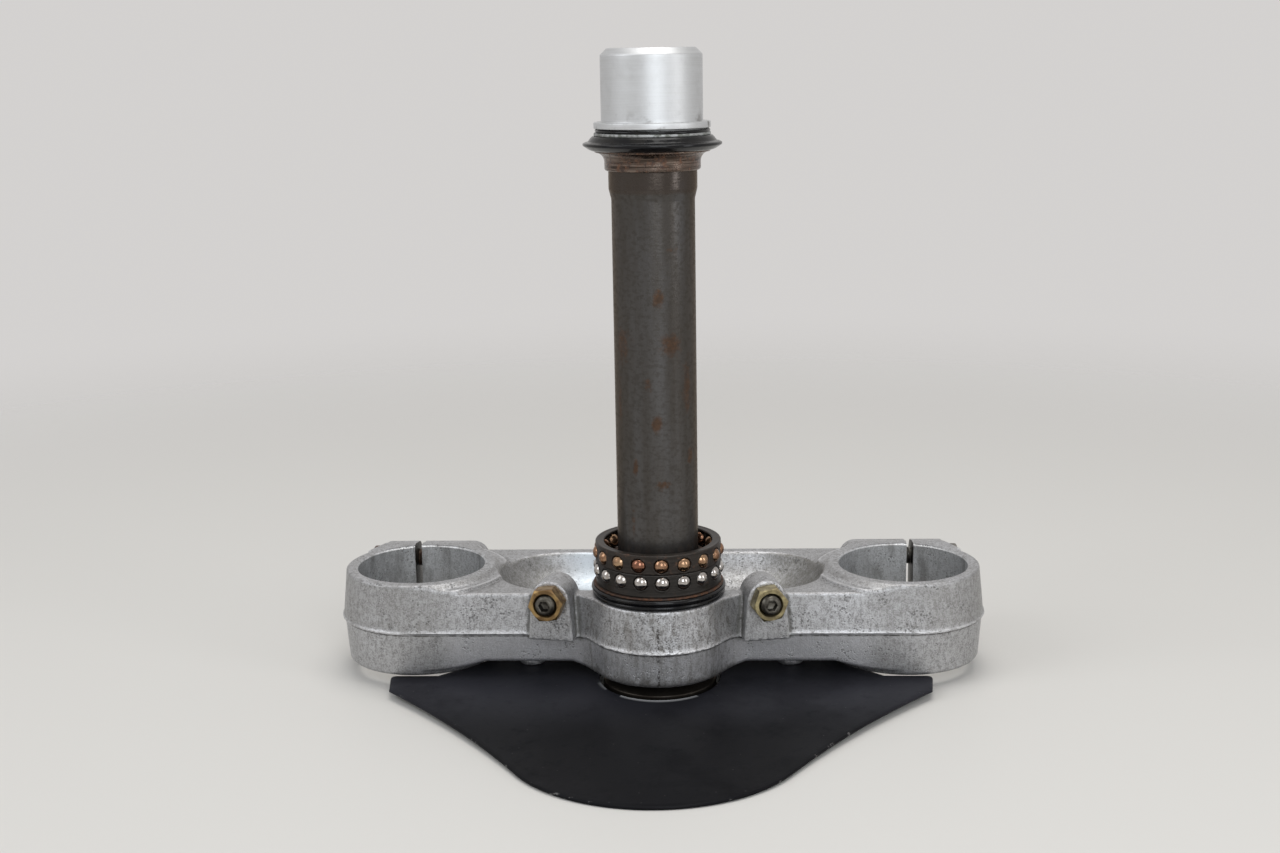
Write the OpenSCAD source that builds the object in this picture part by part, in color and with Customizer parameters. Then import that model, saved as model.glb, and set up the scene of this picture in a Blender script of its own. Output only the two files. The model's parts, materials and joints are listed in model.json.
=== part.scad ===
// Lower triple clamp of a motorcycle with its steering stem, standing on its stem end.
// The stem axis is the Z axis and the floor under the stem end is Z = 0.
// +Y points to the front of the motorcycle, towards the line of the two fork tubes.

/* [Fork clamps] */
// Diameter of the fork tube that a clamp ring holds
fork_d = 54; // [50:0.5:56]
// Distance between the two fork tubes
fork_spacing = 205; // [196:1:216]
// Distance of the fork tubes in front of the stem axis
fork_offset = 30; // [28:0.5:33]
// Height of a clamp ring
ring_h = 39; // [38:0.2:42]
// Wall of a clamp ring at its top
ring_wall = 4.8; // [4.2:0.2:6]
// Height of the clamp rings' lower faces above the floor
ring_foot = 5.5; // [5.3:0.1:6.4]
// Width of the slit that lets a ring close on its tube
slit_w = 2.9; // [1.5:0.1:4]
// Distance of the slit outboard of the ring's centre
slit_shift = 6; // [4:0.5:8]

/* [Casting] */
// Drop of the arms' top face below the tops of the rings
arm_drop = 3.2; // [2.4:0.2:4]
// Height of the arms
arm_h = 29.3; // [28:0.1:30]
// Height of the mould's parting line above the rings' lower faces
parting_rise = 18.5; // [17.6:0.1:20]
// Draft angle of the walls above the parting line
upper_draft = 6; // [4:0.5:7]
// Draft angle of the walls below the parting line
lower_draft = 4; // [2:0.5:5]
// How far the parting bead stands out from the wall above it
bead_proud = 0.8; // [0.4:0.1:1.2]
// Height of the parting bead
bead_h = 2.7; // [1.5:0.1:3.5]
// Step under the parting bead
bead_step = 1.2; // [0.6:0.1:1.6]
// Chamfer of the casting's upper edges
top_edge = 0.8; // [0.4:0.1:1.2]
// Chamfer of the casting's lower edges
foot_edge = 1.6; // [0.8:0.1:2]

/* [Trough] */
// Depth of the trough in the arms
trough_depth = 14; // [10:0.5:15]
// Width of the rim beside the trough
trough_rim = 5.3; // [4.5:0.1:7]
// Wall between the trough and a fork tube
trough_wall = 7; // [6.5:0.1:9]
// Radius of the trough's curved sides
bowl_r = 20; // [16:0.5:24]

/* [Underside] */
// Length of the haunch that drops from an arm's underside to its ring
haunch_len = 30.5; // [20:0.5:31]
// Drop of the haunch at the ring
haunch_drop = 5; // [3:0.1:5.2]
// Floor left between the trough and a pocket under the arm
pocket_floor = 4.5; // [3.5:0.5:8]
// Wall left round a pocket under the arm
pocket_wall = 5; // [4:0.5:8]
// Width of the rib between the two pockets of an arm
pocket_rib = 5; // [3:0.5:8]
// Width of the raised shoulder where an arm's top meets its ring
shoulder_w = 4.8; // [2:0.2:6]
// Height of that shoulder's outer edge
shoulder_h = 1; // [0.4:0.1:1.6]

/* [Boss] */
// Wall of the stem boss at the height of the rings' tops
boss_wall = 9.1; // [8.5:0.1:9.9]
// Drop of the boss's top face below the tops of the rings
boss_drop = 3; // [2.4:0.1:3.6]
// Height of the boss's lower face above the floor
boss_foot = 9.7; // [9.2:0.1:10.4]
// Radius of the blend between the boss and the arms
boss_blend = 12; // [8:0.5:13]

/* [Pinch lugs] */
// Distance of the pinch bolts in front of the ring's centre
bolt_reach = 38; // [37.5:0.1:40]
// Height of the upper pinch bolt above the ring's lower face
upper_bolt_rise = 30.5; // [28:0.1:30.8]
// Height of the lower pinch bolt above the ring's lower face
lower_bolt_rise = 9; // [8.6:0.1:11]
// Radius of the rounded end of a pinch lug
lug_end_r = 7.3; // [7:0.1:8]
// Width of the inboard pinch lug, from the slit's middle
inner_lug_w = 27.8; // [24:0.2:30]
// Width of the outboard pinch lug, from the slit's middle
outer_lug_w = 15.5; // [13:0.1:17]

/* [Pinch bolts] */
// Thread diameter of the pinch bolts
pinch_d = 8; // [6:1:8]
// Length of the pinch bolts under the head
pinch_len = 35; // [30:1:38]
// Head diameter of the pinch bolts
pinch_head_d = 13; // [12:0.5:14]
// Head height of the pinch bolts
pinch_head_h = 8; // [5:0.5:8]
// Hexagon socket of the pinch bolts, across its flats
pinch_key = 6; // [4:1:6]

/* [Steering stops] */
// Distance of a stop screw's axis from the middle, at the face of its lug
stop_x = 44; // [42:0.1:48]
// Depth of a stop screw's axis below the tops of the rings
stop_drop = 4.1; // [3:0.1:5]
// Turn of the stop lugs towards the outside
stop_turn = 12; // [6:1:15]
// Distance of the stop lug's face behind the stem axis
stop_face = 9; // [8:0.1:11]
// Depth of a stop lug from its face
stop_depth = 14.5; // [12:0.5:17]
// Radius of a stop lug's arched top
stop_arch_r = 8.1; // [7.6:0.1:9]
// Width of a stop lug at its foot
stop_foot_w = 19; // [17.5:0.1:21]
// How far a stop lug reaches below the parting line
stop_below = 0.4; // [0.2:0.1:1]
// Thread diameter of the stop screws
stop_d = 8; // [6:1:10]
// How far a stop screw stands out of its lock nut
stop_out = 1.6; // [0.5:0.1:3]
// How far a stop screw stands out of the lug at its other end
stop_tip_out = 3; // [1:0.5:5]
// Hexagon socket of the stop screws, across its flats
stop_key = 4; // [3:0.5:4]
// Lock nut's width across its flats
nut_flats = 13; // [12.5:0.5:14.5]
// Lock nut's thickness
nut_h = 6.5; // [5:0.5:8]

/* [Stem] */
// Radius of the stem tube between its bearings
stem_r = 16.3; // [15.6:0.1:16.8]
// Wall of the stem tube
stem_wall = 6.3; // [5:0.1:8]
// Step up to where the stem is pressed into the boss and carries the lower bearing
lower_seat_step = 1.2; // [0.8:0.1:1.8]
// Step up to the stem's seat for the upper bearing
upper_seat_step = 1; // [0.6:0.1:1.3]
// Length of the bare upper seat below the bearing cone
upper_seat_len = 7; // [4:0.5:9]
// Length of the taper below the upper seat
seat_taper = 4.1; // [2:0.1:8]
// Step down to the stem's thread under the adjuster nut
thread_step = 0.3; // [0.1:0.1:1]
// Wall of the stem's foot below its collar
stem_end_wall = 2.9; // [2.5:0.1:4]
// How far the collar under the boss stands out from the seat
collar_step = 1.5; // [1:0.1:2.5]
// Height of the collar under the boss
collar_h = 1.6; // [1:0.1:2.4]
// Height of the upper bearing cone's lower face above the rings' tops
upper_cone_rise = 168; // [150:1:185]

/* [Bearings] */
// Distance of the circle of the ball centres from the stem's lower seat
ball_circle_step = 6.07; // [6:0.01:6.5]
// Diameter of a ball
ball_d = 6.35; // [5.5:0.05:6.5]
// Number of balls in the lower cage
lower_balls_n = 18; // [12:1:18]
// Number of balls in the upper cage
upper_balls_n = 17; // [12:1:17]
// Play of a ball in its pocket
ball_play = 0.12; // [0.05:0.01:0.2]
// Sheet thickness of a ball cage
cage_sheet = 0.9; // [0.6:0.1:1.1]
// How far a ball cage stands outside the circle of the ball centres
cage_out = 1.83; // [1.7:0.01:2.2]
// Height of the lower ball cage
lower_cage_h = 9.4; // [9.2:0.1:10.5]
// Height of the upper ball cage
upper_cage_h = 7.8; // [7.6:0.1:9]
// Thickness of the rubber body of the lower dust seal
lower_seal_h = 4.4; // [3.5:0.1:5.5]
// Thickness of the washer on the lower dust seal
seal_washer_h = 0.8; // [0.5:0.1:1.2]
// Width of the lower dust seal from the stem's seat to its widest lip
seal_w = 9.9; // [9.5:0.1:11]
// Height of the lower bearing cone
lower_cone_h = 10.8; // [9.5:0.1:11.5]
// Height of the upper bearing cone
upper_cone_h = 7.6; // [7:0.1:9]
// Thickness of the upper dust seal
upper_seal_h = 5.6; // [5:0.1:7]

/* [Adjuster nut] */
// Wall of the adjuster nut's body, which the top yoke clamps
nut_wall = 3.68; // [3.5:0.01:4.3]
// Length of the adjuster nut's body above its flange
nut_body_len = 27.8; // [22:0.2:34]
// How far the adjuster nut's flange stands out from its body
nut_flange_w = 2.92; // [2.3:0.01:4]
// Height of the adjuster nut's flange
nut_flange_h = 2.4; // [1.6:0.1:3]
// Height of the rim below the seal ring's groove
nut_rim_h = 1.2; // [0.8:0.1:2]
// Section diameter of the seal ring in the groove
o_ring_d = 1.6; // [1.2:0.1:2]
// Chamfer at the adjuster nut's top
nut_top_edge = 2.6; // [1:0.1:3]
// Thickness of the adjuster nut's end wall
nut_end_h = 4; // [3:0.5:6]
// Width of the lip that the adjuster nut's end wall lays over the stem
nut_lip_w = 2.5; // [1:0.1:4]

/* [Splash plate] */
// Sheet thickness of the splash plate
plate_t = 1.4; // [1:0.1:1.6]
// Distance from the stem axis to the plate's tip
plate_reach = 118; // [105:1:125]
// Height of the plate's lower face above the floor at the stem axis
plate_rise = 3.3; // [3:0.1:3.4]
// Half width of the plate over its wings' front corners
wing_x = 112; // [100:0.5:116]
// Distance of the wings' front edge in front of the stem axis
wing_y = 1; // [0:0.1:2]
// Length of a wing's side edge
wing_side = 15; // [10:0.5:18]
// How far a wing's side edge turns inwards on its way back
wing_taper = 1.6; // [0:0.1:3]
// Radius of the wings' front corners
wing_corner_r = 2.5; // [1:0.1:4]
// Radius of the plate's rounded tip
tip_r = 59.5; // [50:0.5:66]
// Radius of the hollow curve between the tip and a wing
flank_r = 450; // [300:10:800]
// Play of the plate's hole round the collar on the stem
plate_hole_play = 6; // [3:0.1:7]
// Half width of the plate's tongue under the arms
tongue_x = 70; // [62:0.5:70]
// Distance of the tongue's front edge in front of the stem axis
tongue_y = 44; // [38:0.5:48]
// Cut of the tongue's front corners
tongue_cut = 11; // [4:0.5:16]
// Distance of the plate screws from the middle
plate_screw_x = 54.5; // [48:0.5:56]
// Distance of the plate screws in front of the stem axis
plate_screw_y = 17; // [8:0.5:20]
// Radius of the cast pillars that carry the plate
pillar_r = 5.5; // [5:0.1:8]
// Thread diameter of the plate screws
plate_screw_d = 6; // [5:1:6]
// Length of the plate screws under the head
plate_screw_len = 14; // [10:1:16]
// Head diameter of the plate screws
plate_head_d = 10.5; // [10:0.5:12]
// Head height of the plate screws
plate_head_h = 2.2; // [1.8:0.1:2.4]

/* [Hidden] */
$fn = 96;
over = 1;               // how far a cut runs past the face it opens
bolt_clearance = 0.3;   // radial play of a bolt in a plain hole
blend_bite = 0.05;      // how far a blend's round runs into the walls that it joins
stem_bore_r = stem_r - stem_wall;
stem_end_r = stem_bore_r + stem_end_wall;
stem_seat_r = stem_r + lower_seat_step;
upper_seat_r = stem_r + upper_seat_step;
stem_thread_r = stem_r - thread_step;
collar_r = stem_seat_r + collar_step;
boss_r = stem_seat_r + boss_wall;
ball_circle_r = stem_seat_r + ball_circle_step;
cage_r = ball_circle_r + cage_out;
seal_lip_r = stem_seat_r + seal_w;
nut_body_r = stem_thread_r + nut_wall;
nut_flange_r = nut_body_r + nut_flange_w;
nut_end_r = stem_thread_r - nut_lip_w;
plate_hole_r = collar_r + plate_hole_play;
fork_r = fork_d / 2;
fork_x = fork_spacing / 2;
ring_r = fork_r + ring_wall;
ring_top = ring_foot + ring_h;
arm_top = ring_top - arm_drop;
arm_foot = arm_top - arm_h;
haunch_foot = arm_foot - haunch_drop;
boss_top = ring_top - boss_drop;
parting_z = ring_foot + parting_rise;
slit_x = fork_x + slit_shift;
bolt_y = fork_offset + bolt_reach;
trough_half = ring_r - trough_rim;
trough_floor = arm_top - trough_depth;
trough_end_x = fork_x - fork_r - trough_wall - trough_half;
bowl_turn = acos(1 - trough_depth / bowl_r);
bowl_flat = trough_half - bowl_r * sin(bowl_turn);
stop_z = ring_top - stop_drop;
ball_r = ball_d / 2;
pocket_r = ball_r + ball_play;
seal_top = boss_top + lower_seal_h;
cone_foot = seal_top + seal_washer_h;
lower_cage_top = cone_foot + lower_cage_h;
upper_cage_top = lower_cage_top + upper_cage_h;
lower_ball_z = lower_cage_top - ball_r - 0.4;
upper_ball_z = lower_cage_top + ball_r + 0.4;
lower_ball_start = -84.6;
upper_ball_start = -85.4;
upper_cone_foot = ring_top + upper_cone_rise;
upper_cone_top = upper_cone_foot + upper_cone_h;
nut_foot = upper_cone_top + upper_seal_h;
groove_z = nut_foot + nut_rim_h;
flange_z = groove_z + o_ring_d;
body_z = flange_z + nut_flange_h;
nut_top = body_z + nut_body_len;
plate_tilt = asin(plate_rise / plate_reach);

// Outward growth of a wall above the parting line, from the height of the rings' tops
function upper_growth(z) = (ring_top - z) * tan(upper_draft);
bead_growth = upper_growth(parting_z + bead_h) + bead_proud;

// Outward growth of a wall below the parting line
function lower_growth(z) = bead_growth - bead_step - (parting_z - z) * tan(lower_draft);

// Section of a cast wall from its foot to its top as [distance, height] points. At the rings'
// tops the wall would stand at r, and both ends are chamfered.
function wall_section(r, foot, top) = [
    [r + lower_growth(foot) - foot_edge, foot],
    [r + lower_growth(foot + foot_edge), foot + foot_edge],
    [r + bead_growth - bead_step, parting_z],
    [r + bead_growth, parting_z],
    [r + upper_growth(parting_z + bead_h), parting_z + bead_h],
    [r + upper_growth(top - top_edge), top - top_edge],
    [r + upper_growth(top) - top_edge, top]
];

function mirrored(points) = [for (i = [len(points) - 1:-1:0]) [-points[i][0], points[i][1]]];

// A round cast piece with the drafted wall and the parting bead
module cast_round(r, foot, top) {
    rotate_extrude()
        polygon(concat([[0, foot]], wall_section(r, foot, top), [[0, top]]));
}

// Both sides of the motorcycle, the left one first
module on_both_sides() {
    for (side = [-1, 1])
        translate([side * fork_x, fork_offset, 0])
            children();
}

// The beam that joins the rings, whose front and back walls run on into the rings' walls
module arm_beam() {
    section = wall_section(ring_r, arm_foot, arm_top);
    translate([-fork_x, fork_offset, 0])
        rotate([90, 0, 90])
            linear_extrude(fork_spacing)
                polygon(concat(section, mirrored(section)));
}

// Under each arm's end, a haunch that curves down to the ring
module haunch(side) {
    half_w = ring_r + lower_growth(haunch_foot) - blend_bite;
    start = fork_x - haunch_len;
    curve = [for (t = [0:0.2:1])
        [side * (start + t * haunch_len), haunch_foot + haunch_drop * pow(1 - t, 2)]];
    translate([0, fork_offset + half_w, 0])
        rotate([90, 0, 0])
            linear_extrude(2 * half_w)
                polygon(concat(
                    [[side * fork_x, arm_foot + foot_edge + over], [side * (start - over), arm_foot + foot_edge + over],
                     [side * (start - over), arm_foot + foot_edge / 4]],
                    curve));
}

// Raised shoulder round a ring, on the top of its arm
module arm_shoulder(side) {
    half_w = ring_r - top_edge;
    translate([side * fork_x, fork_offset, 0])
        intersection() {
            rotate_extrude()
                polygon([
                    [fork_r + over, arm_top - over], [ring_r + shoulder_w + over, arm_top - over],
                    [ring_r + shoulder_w, arm_top + shoulder_h], [ring_r + shoulder_w / 3, arm_top + 1.6 * shoulder_h],
                    [ring_r, ring_top - top_edge], [fork_r + over, ring_top - top_edge]
                ]);
            translate([side > 0 ? -ring_r - 2 * shoulder_w : 0, -half_w, arm_top - 2 * over])
                cube([ring_r + 2 * shoulder_w, 2 * half_w, arm_drop + 2 * over]);
        }
}

// Two pockets in an arm's underside with a rib between them, bounded by the boss and the ring
module arm_pockets(side) {
    half_w = ring_r + lower_growth(arm_foot) - pocket_wall;
    inner_x = boss_r * 3 / 4;
    translate([0, 0, arm_foot - over])
        linear_extrude(trough_floor - pocket_floor - arm_foot + over)
            difference() {
                for (front = [0, 1])
                    translate([side > 0 ? inner_x : -fork_x, fork_offset + (front > 0 ? pocket_rib / 2 : -half_w)])
                        square([fork_x - inner_x, half_w - pocket_rib / 2]);
                circle(boss_r + lower_growth(arm_foot) + pocket_wall);
                translate([side * fork_x, fork_offset])
                    circle(ring_r + lower_growth(arm_foot) + pocket_wall);
            }
}

// Half of the trough's section, from its middle line to one side
module bowl_half() {
    intersection() {
        translate([0, trough_floor])
            square([trough_half + over, trough_depth + over]);
        union() {
            translate([bowl_flat, trough_floor + bowl_r])
                circle(bowl_r);
            translate([0, trough_floor])
                square([bowl_flat, trough_depth + over]);
        }
    }
}

// The dished trough between the rings, with round ends
module trough() {
    translate([-trough_end_x, fork_offset, 0])
        rotate([90, 0, 90])
            linear_extrude(2 * trough_end_x) {
                bowl_half();
                mirror([1, 0])
                    bowl_half();
            }
    for (side = [-1, 1])
        translate([side * trough_end_x, fork_offset, 0])
            rotate_extrude()
                bowl_half();
}

// Fills the corners between the boss and the arms' back wall with a concave blend
module boss_blends() {
    wall_y = fork_offset - ring_r;
    blend_y = wall_y - boss_blend + blend_bite;
    blend_x = sqrt(pow(boss_r + boss_blend - blend_bite, 2) - pow(blend_y, 2));
    section = [for (p = wall_section(0, arm_foot, arm_top)) [boss_blend - p[0], p[1]]];
    for (side = [-1, 1])
        difference() {
            translate([0, 0, arm_foot])
                linear_extrude(arm_h)
                    polygon([[0, 0], [side * blend_x, 0], [side * blend_x, blend_y]]);
            translate([side * blend_x, blend_y, 0])
                rotate_extrude()
                    polygon(concat(
                        [[0, arm_foot - over], [section[0][0], arm_foot - over]],
                        section,
                        [[section[len(section) - 1][0], arm_top + over], [0, arm_top + over]]));
        }
}

// Pinch lugs in front of a ring, still in one piece
module pinch_lugs(side) {
    lug_w = inner_lug_w + outer_lug_w;
    start = side > 0 ? slit_shift - inner_lug_w : -slit_shift - outer_lug_w;
    translate([start, 0, 0])
        rotate([90, 0, 90])
            linear_extrude(lug_w) {
                polygon([
                    [0, ring_foot + foot_edge],
                    [ring_r - foot_edge, ring_foot],
                    [bolt_reach, ring_foot + lower_bolt_rise - lug_end_r],
                    [bolt_reach + lug_end_r, ring_foot + lower_bolt_rise],
                    [bolt_reach + lug_end_r, ring_foot + upper_bolt_rise],
                    [bolt_reach, ring_foot + upper_bolt_rise + lug_end_r],
                    [ring_r, ring_top],
                    [0, ring_top]
                ]);
                for (z = [lower_bolt_rise, upper_bolt_rise])
                    translate([bolt_reach, ring_foot + z])
                        circle(lug_end_r);
            }
}

// Moves to a stop screw's axis at the lug's face, with the axis along the child's Z
module at_stop(side) {
    translate([side * stop_x, -stop_face, stop_z])
        rotate([0, 0, side * stop_turn])
            rotate([90, 0, 0])
                children();
}

// Arched lug that carries a stop screw, with a flat foot just below the parting line
module stop_lug(side) {
    foot = parting_z - stop_below - stop_z;
    at_stop(side)
        translate([0, 0, -stop_depth])
            linear_extrude(stop_depth) {
                circle(stop_arch_r);
                polygon([
                    [-stop_foot_w / 2, foot], [stop_foot_w / 2, foot],
                    [stop_arch_r, 0], [-stop_arch_r, 0]
                ]);
            }
}

// Moves to the splash plate's lower face, in the plate's own slope
module on_plate() {
    translate([0, 0, plate_rise])
        rotate([plate_tilt, 0, 0])
            children();
}

module at_plate_screw(side) {
    on_plate()
        translate([side * plate_screw_x, plate_screw_y, 0])
            children();
}

module lower_yoke() {
    color([0.62, 0.62, 0.61])
        difference() {
            union() {
                difference() {
                    arm_beam();
                    trough();
                    for (side = [-1, 1])
                        arm_pockets(side);
                }
                on_both_sides()
                    cast_round(ring_r, ring_foot, ring_top);
                cast_round(boss_r, boss_foot, boss_top);
                boss_blends();
                for (side = [-1, 1]) {
                    haunch(side);
                    arm_shoulder(side);
                    translate([side * fork_x, fork_offset, 0])
                        pinch_lugs(side);
                    stop_lug(side);
                    at_plate_screw(side)
                        translate([0, 0, plate_t])
                            cylinder(h = trough_floor - plate_rise - plate_t - over, r = pillar_r);
                }
            }
            on_both_sides()
                translate([0, 0, ring_foot - over])
                    cylinder(h = ring_h + 2 * over, r = fork_r);
            translate([0, 0, boss_foot - over])
                cylinder(h = boss_top - boss_foot + 2 * over, r = stem_seat_r);
            for (side = [-1, 1]) {
                translate([side * slit_x - slit_w / 2, fork_offset, ring_foot - over])
                    cube([slit_w, bolt_reach + lug_end_r + over, ring_h + 2 * over]);
                at_stop(side)
                    translate([0, 0, -stop_depth - over])
                        cylinder(h = stop_depth + 2 * over, d = stop_d);
                for (z = [lower_bolt_rise, upper_bolt_rise])
                    pinch_hole(side, ring_foot + z);
                at_plate_screw(side)
                    translate([0, 0, plate_t - over])
                        cylinder(h = plate_screw_len + over, d = plate_screw_d);
            }
        }
}

// Moves to the seat of a pinch bolt's head on the outboard lug, with the bolt along the child's -Z
module at_pinch(side, z) {
    translate([side * (slit_x + outer_lug_w), bolt_y, z])
        rotate([0, side * 90, 0])
            children();
}

// Plain hole through the outboard lug and threaded hole in the inboard one
module pinch_hole(side, z) {
    at_pinch(side, z) {
        translate([0, 0, -outer_lug_w])
            cylinder(h = outer_lug_w + over, r = pinch_d / 2 + bolt_clearance);
        translate([0, 0, -pinch_len - over])
            cylinder(h = pinch_len, d = pinch_d);
    }
}

// A screw along -Z with its head above Z = 0, a hexagon socket and a chamfered end
module socket_screw(d, len, head_d, head_h, key) {
    tip = d / 8;
    edge = head_h / 8;
    difference() {
        rotate_extrude()
            polygon([
                [0, -len], [d / 2 - tip, -len], [d / 2, tip - len], [d / 2, 0],
                [head_d / 2, 0], [head_d / 2, head_h - edge], [head_d / 2 - edge, head_h], [0, head_h]
            ]);
        translate([0, 0, head_h / 2])
            cylinder(h = head_h, d = key / cos(30), $fn = 6);
    }
}

module pinch_bolt(side, z) {
    color([0.55, 0.53, 0.50])
        at_pinch(side, z)
            socket_screw(pinch_d, pinch_len, pinch_head_d, pinch_head_h, pinch_key);
}

// Grub screw through a stop lug and its lock nut
module stop_screw(side) {
    len = stop_tip_out + stop_depth + nut_h + stop_out;
    tip = stop_d / 8;
    color([0.33, 0.31, 0.28])
        at_stop(side)
            translate([0, 0, nut_h + stop_out])
                difference() {
                    rotate_extrude()
                        polygon([
                            [0, -len], [stop_d / 2 - 2 * tip, -len], [stop_d / 2, 2 * tip - len],
                            [stop_d / 2, -tip], [stop_d / 2 - tip, 0], [0, 0]
                        ]);
                    translate([0, 0, -stop_key])
                        cylinder(h = stop_key + over, d = stop_key / cos(30), $fn = 6);
                }
}

module lock_nut(side) {
    corner_r = nut_flats / 2 / cos(30);
    face_r = nut_flats / 2 - 0.2;
    bevel_w = corner_r - face_r + 0.5;
    bevel_h = bevel_w * tan(30);
    color([0.66, 0.56, 0.32])
        at_stop(side)
            difference() {
                intersection() {
                    rotate([0, 0, 8])
                        cylinder(h = nut_h, r = corner_r, $fn = 6);
                    rotate_extrude()
                        polygon([
                            [0, 0], [face_r, 0], [face_r + bevel_w, bevel_h],
                            [face_r + bevel_w, nut_h - bevel_h], [face_r, nut_h], [0, nut_h]
                        ]);
                }
                translate([0, 0, -over])
                    cylinder(h = nut_h + 2 * over, d = stop_d);
            }
}

module steering_stem() {
    end_edge = 0.8;
    seat_top = cone_foot + lower_cone_h;
    bare_z = upper_cone_foot - upper_seat_len;
    tube_top = nut_top - nut_end_h;
    color([0.27, 0.25, 0.24])
        rotate_extrude()
            polygon([
                [stem_bore_r, 0], [stem_end_r - end_edge, 0], [stem_end_r, end_edge],
                [stem_end_r, boss_foot - collar_h], [collar_r, boss_foot - collar_h],
                [collar_r, boss_foot], [stem_seat_r, boss_foot], [stem_seat_r, seat_top],
                [stem_r, seat_top + 2 * (stem_seat_r - stem_r)],
                [stem_r, bare_z - seat_taper], [upper_seat_r, bare_z],
                [upper_seat_r, nut_foot], [stem_thread_r, nut_foot],
                [stem_thread_r, tube_top], [stem_bore_r, tube_top]
            ]);
}

// Rubber seal with two lips that lies on the boss
module lower_dust_seal() {
    lip = lower_seal_h / 2;
    body_r = seal_lip_r - 0.6;
    color([0.05, 0.05, 0.05])
        translate([0, 0, boss_top])
            rotate_extrude()
                union() {
                    translate([stem_seat_r, 0])
                        square([body_r - lip / 2 - stem_seat_r, lower_seal_h]);
                    translate([seal_lip_r - lip / 2 - 0.3, lip / 2])
                        circle(lip / 2);
                    translate([seal_lip_r - lip / 2, 3 * lip / 2])
                        circle(lip / 2);
                }
}

module lower_seal_washer() {
    color([0.42, 0.22, 0.12])
        translate([0, 0, seal_top])
            difference() {
                cylinder(h = seal_washer_h, r = seal_lip_r - 0.9);
                translate([0, 0, -over])
                    cylinder(h = seal_washer_h + 2 * over, r = stem_seat_r);
            }
}

// Inner ring of the lower bearing, with the track in its shoulder
module lower_bearing_cone() {
    track_r = ball_circle_r - pocket_r;
    color([0.45, 0.42, 0.40])
        rotate_extrude()
            difference() {
                union() {
                    translate([stem_seat_r, cone_foot])
                        square([track_r - stem_seat_r, lower_cone_h]);
                    translate([stem_seat_r, cone_foot])
                        square([track_r + ball_r / 2 - stem_seat_r, lower_ball_z - cone_foot]);
                }
                translate([ball_circle_r, lower_ball_z])
                    circle(pocket_r);
            }
}

module each_ball(count, start) {
    for (i = [0:count - 1])
        rotate([0, 0, start + i * 360 / count])
            translate([ball_circle_r, 0, 0])
                children();
}

// Pressed cage with a wall, a flange at flange_z and a tab between each two balls
module ball_cage(foot, height, flange_z, ball_z, count, start) {
    inner_r = cage_r - cage_sheet;
    tab_in = ball_circle_r - ball_r / 2;
    tab_w = 1.1;
    difference() {
        union() {
            translate([0, 0, foot])
                rotate_extrude()
                    translate([inner_r, 0])
                        square([cage_sheet, height]);
            translate([0, 0, flange_z])
                rotate_extrude()
                    translate([tab_in, 0])
                        square([cage_r - tab_in, cage_sheet]);
            for (i = [0:count - 1])
                rotate([0, 0, start + (i + 0.5) * 360 / count])
                    translate([tab_in, -tab_w / 2, min(flange_z, ball_z)])
                        cube([inner_r + cage_sheet / 2 - tab_in, tab_w, abs(flange_z - ball_z) + cage_sheet / 2]);
        }
        translate([0, 0, ball_z])
            each_ball(count, start)
                sphere(pocket_r);
    }
}

module lower_ball_cage() {
    color([0.20, 0.17, 0.15])
        ball_cage(cone_foot, lower_cage_h, cone_foot, lower_ball_z, lower_balls_n, lower_ball_start);
}

module upper_ball_cage() {
    color([0.26, 0.20, 0.16])
        ball_cage(lower_cage_top, upper_cage_h, upper_cage_top - cage_sheet, upper_ball_z,
            upper_balls_n, upper_ball_start);
}

module lower_balls() {
    color([0.80, 0.78, 0.76])
        translate([0, 0, lower_ball_z])
            each_ball(lower_balls_n, lower_ball_start)
                sphere(ball_r);
}

module upper_balls() {
    color([0.62, 0.38, 0.24])
        translate([0, 0, upper_ball_z])
            each_ball(upper_balls_n, upper_ball_start)
                sphere(ball_r);
}

// Inner ring of the upper bearing, flaring to its track
module upper_bearing_cone() {
    body_r = upper_seat_r + 1.4;
    flare_r = upper_seat_r + 5.2;
    track_r = flare_r - body_r;
    color([0.40, 0.30, 0.24])
        translate([0, 0, upper_cone_foot])
            rotate_extrude()
                difference() {
                    polygon([
                        [upper_seat_r, 0], [body_r - 0.9, 0], [body_r, 1.3], [flare_r, 1.3],
                        [flare_r, upper_cone_h], [upper_seat_r, upper_cone_h]
                    ]);
                    translate([flare_r, upper_cone_h - 0.6 - track_r])
                        circle(track_r);
                    translate([body_r, 0])
                        square([2 * track_r, upper_cone_h - 0.6 - track_r]);
                }
}

module upper_dust_seal() {
    color([0.05, 0.05, 0.05])
        translate([0, 0, upper_cone_top])
            rotate_extrude()
                polygon([
                    [upper_seat_r, 0], [seal_lip_r - 2.8, 0], [seal_lip_r - 0.9, 0.9],
                    [seal_lip_r - 0.4, 1.7], [seal_lip_r - 0.4, 3], [seal_lip_r - 1.1, 4],
                    [seal_lip_r - 3, upper_seal_h - 0.5], [seal_lip_r - 4.2, upper_seal_h],
                    [upper_seat_r, upper_seal_h]
                ]);
}

module adjuster_nut() {
    groove_r = nut_flange_r - o_ring_d;
    edge = 0.4;
    color([0.83, 0.83, 0.81])
        rotate_extrude()
            polygon([
                [stem_thread_r, nut_foot], [nut_flange_r - edge, nut_foot], [nut_flange_r, nut_foot + edge],
                [nut_flange_r, groove_z], [groove_r, groove_z], [groove_r, flange_z],
                [nut_flange_r, flange_z], [nut_flange_r, body_z - edge], [nut_flange_r - edge, body_z],
                [nut_body_r, body_z], [nut_body_r, nut_top - nut_top_edge],
                [nut_body_r - nut_top_edge, nut_top], [nut_end_r, nut_top],
                [nut_end_r, nut_top - nut_end_h], [stem_thread_r, nut_top - nut_end_h]
            ]);
}

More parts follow.
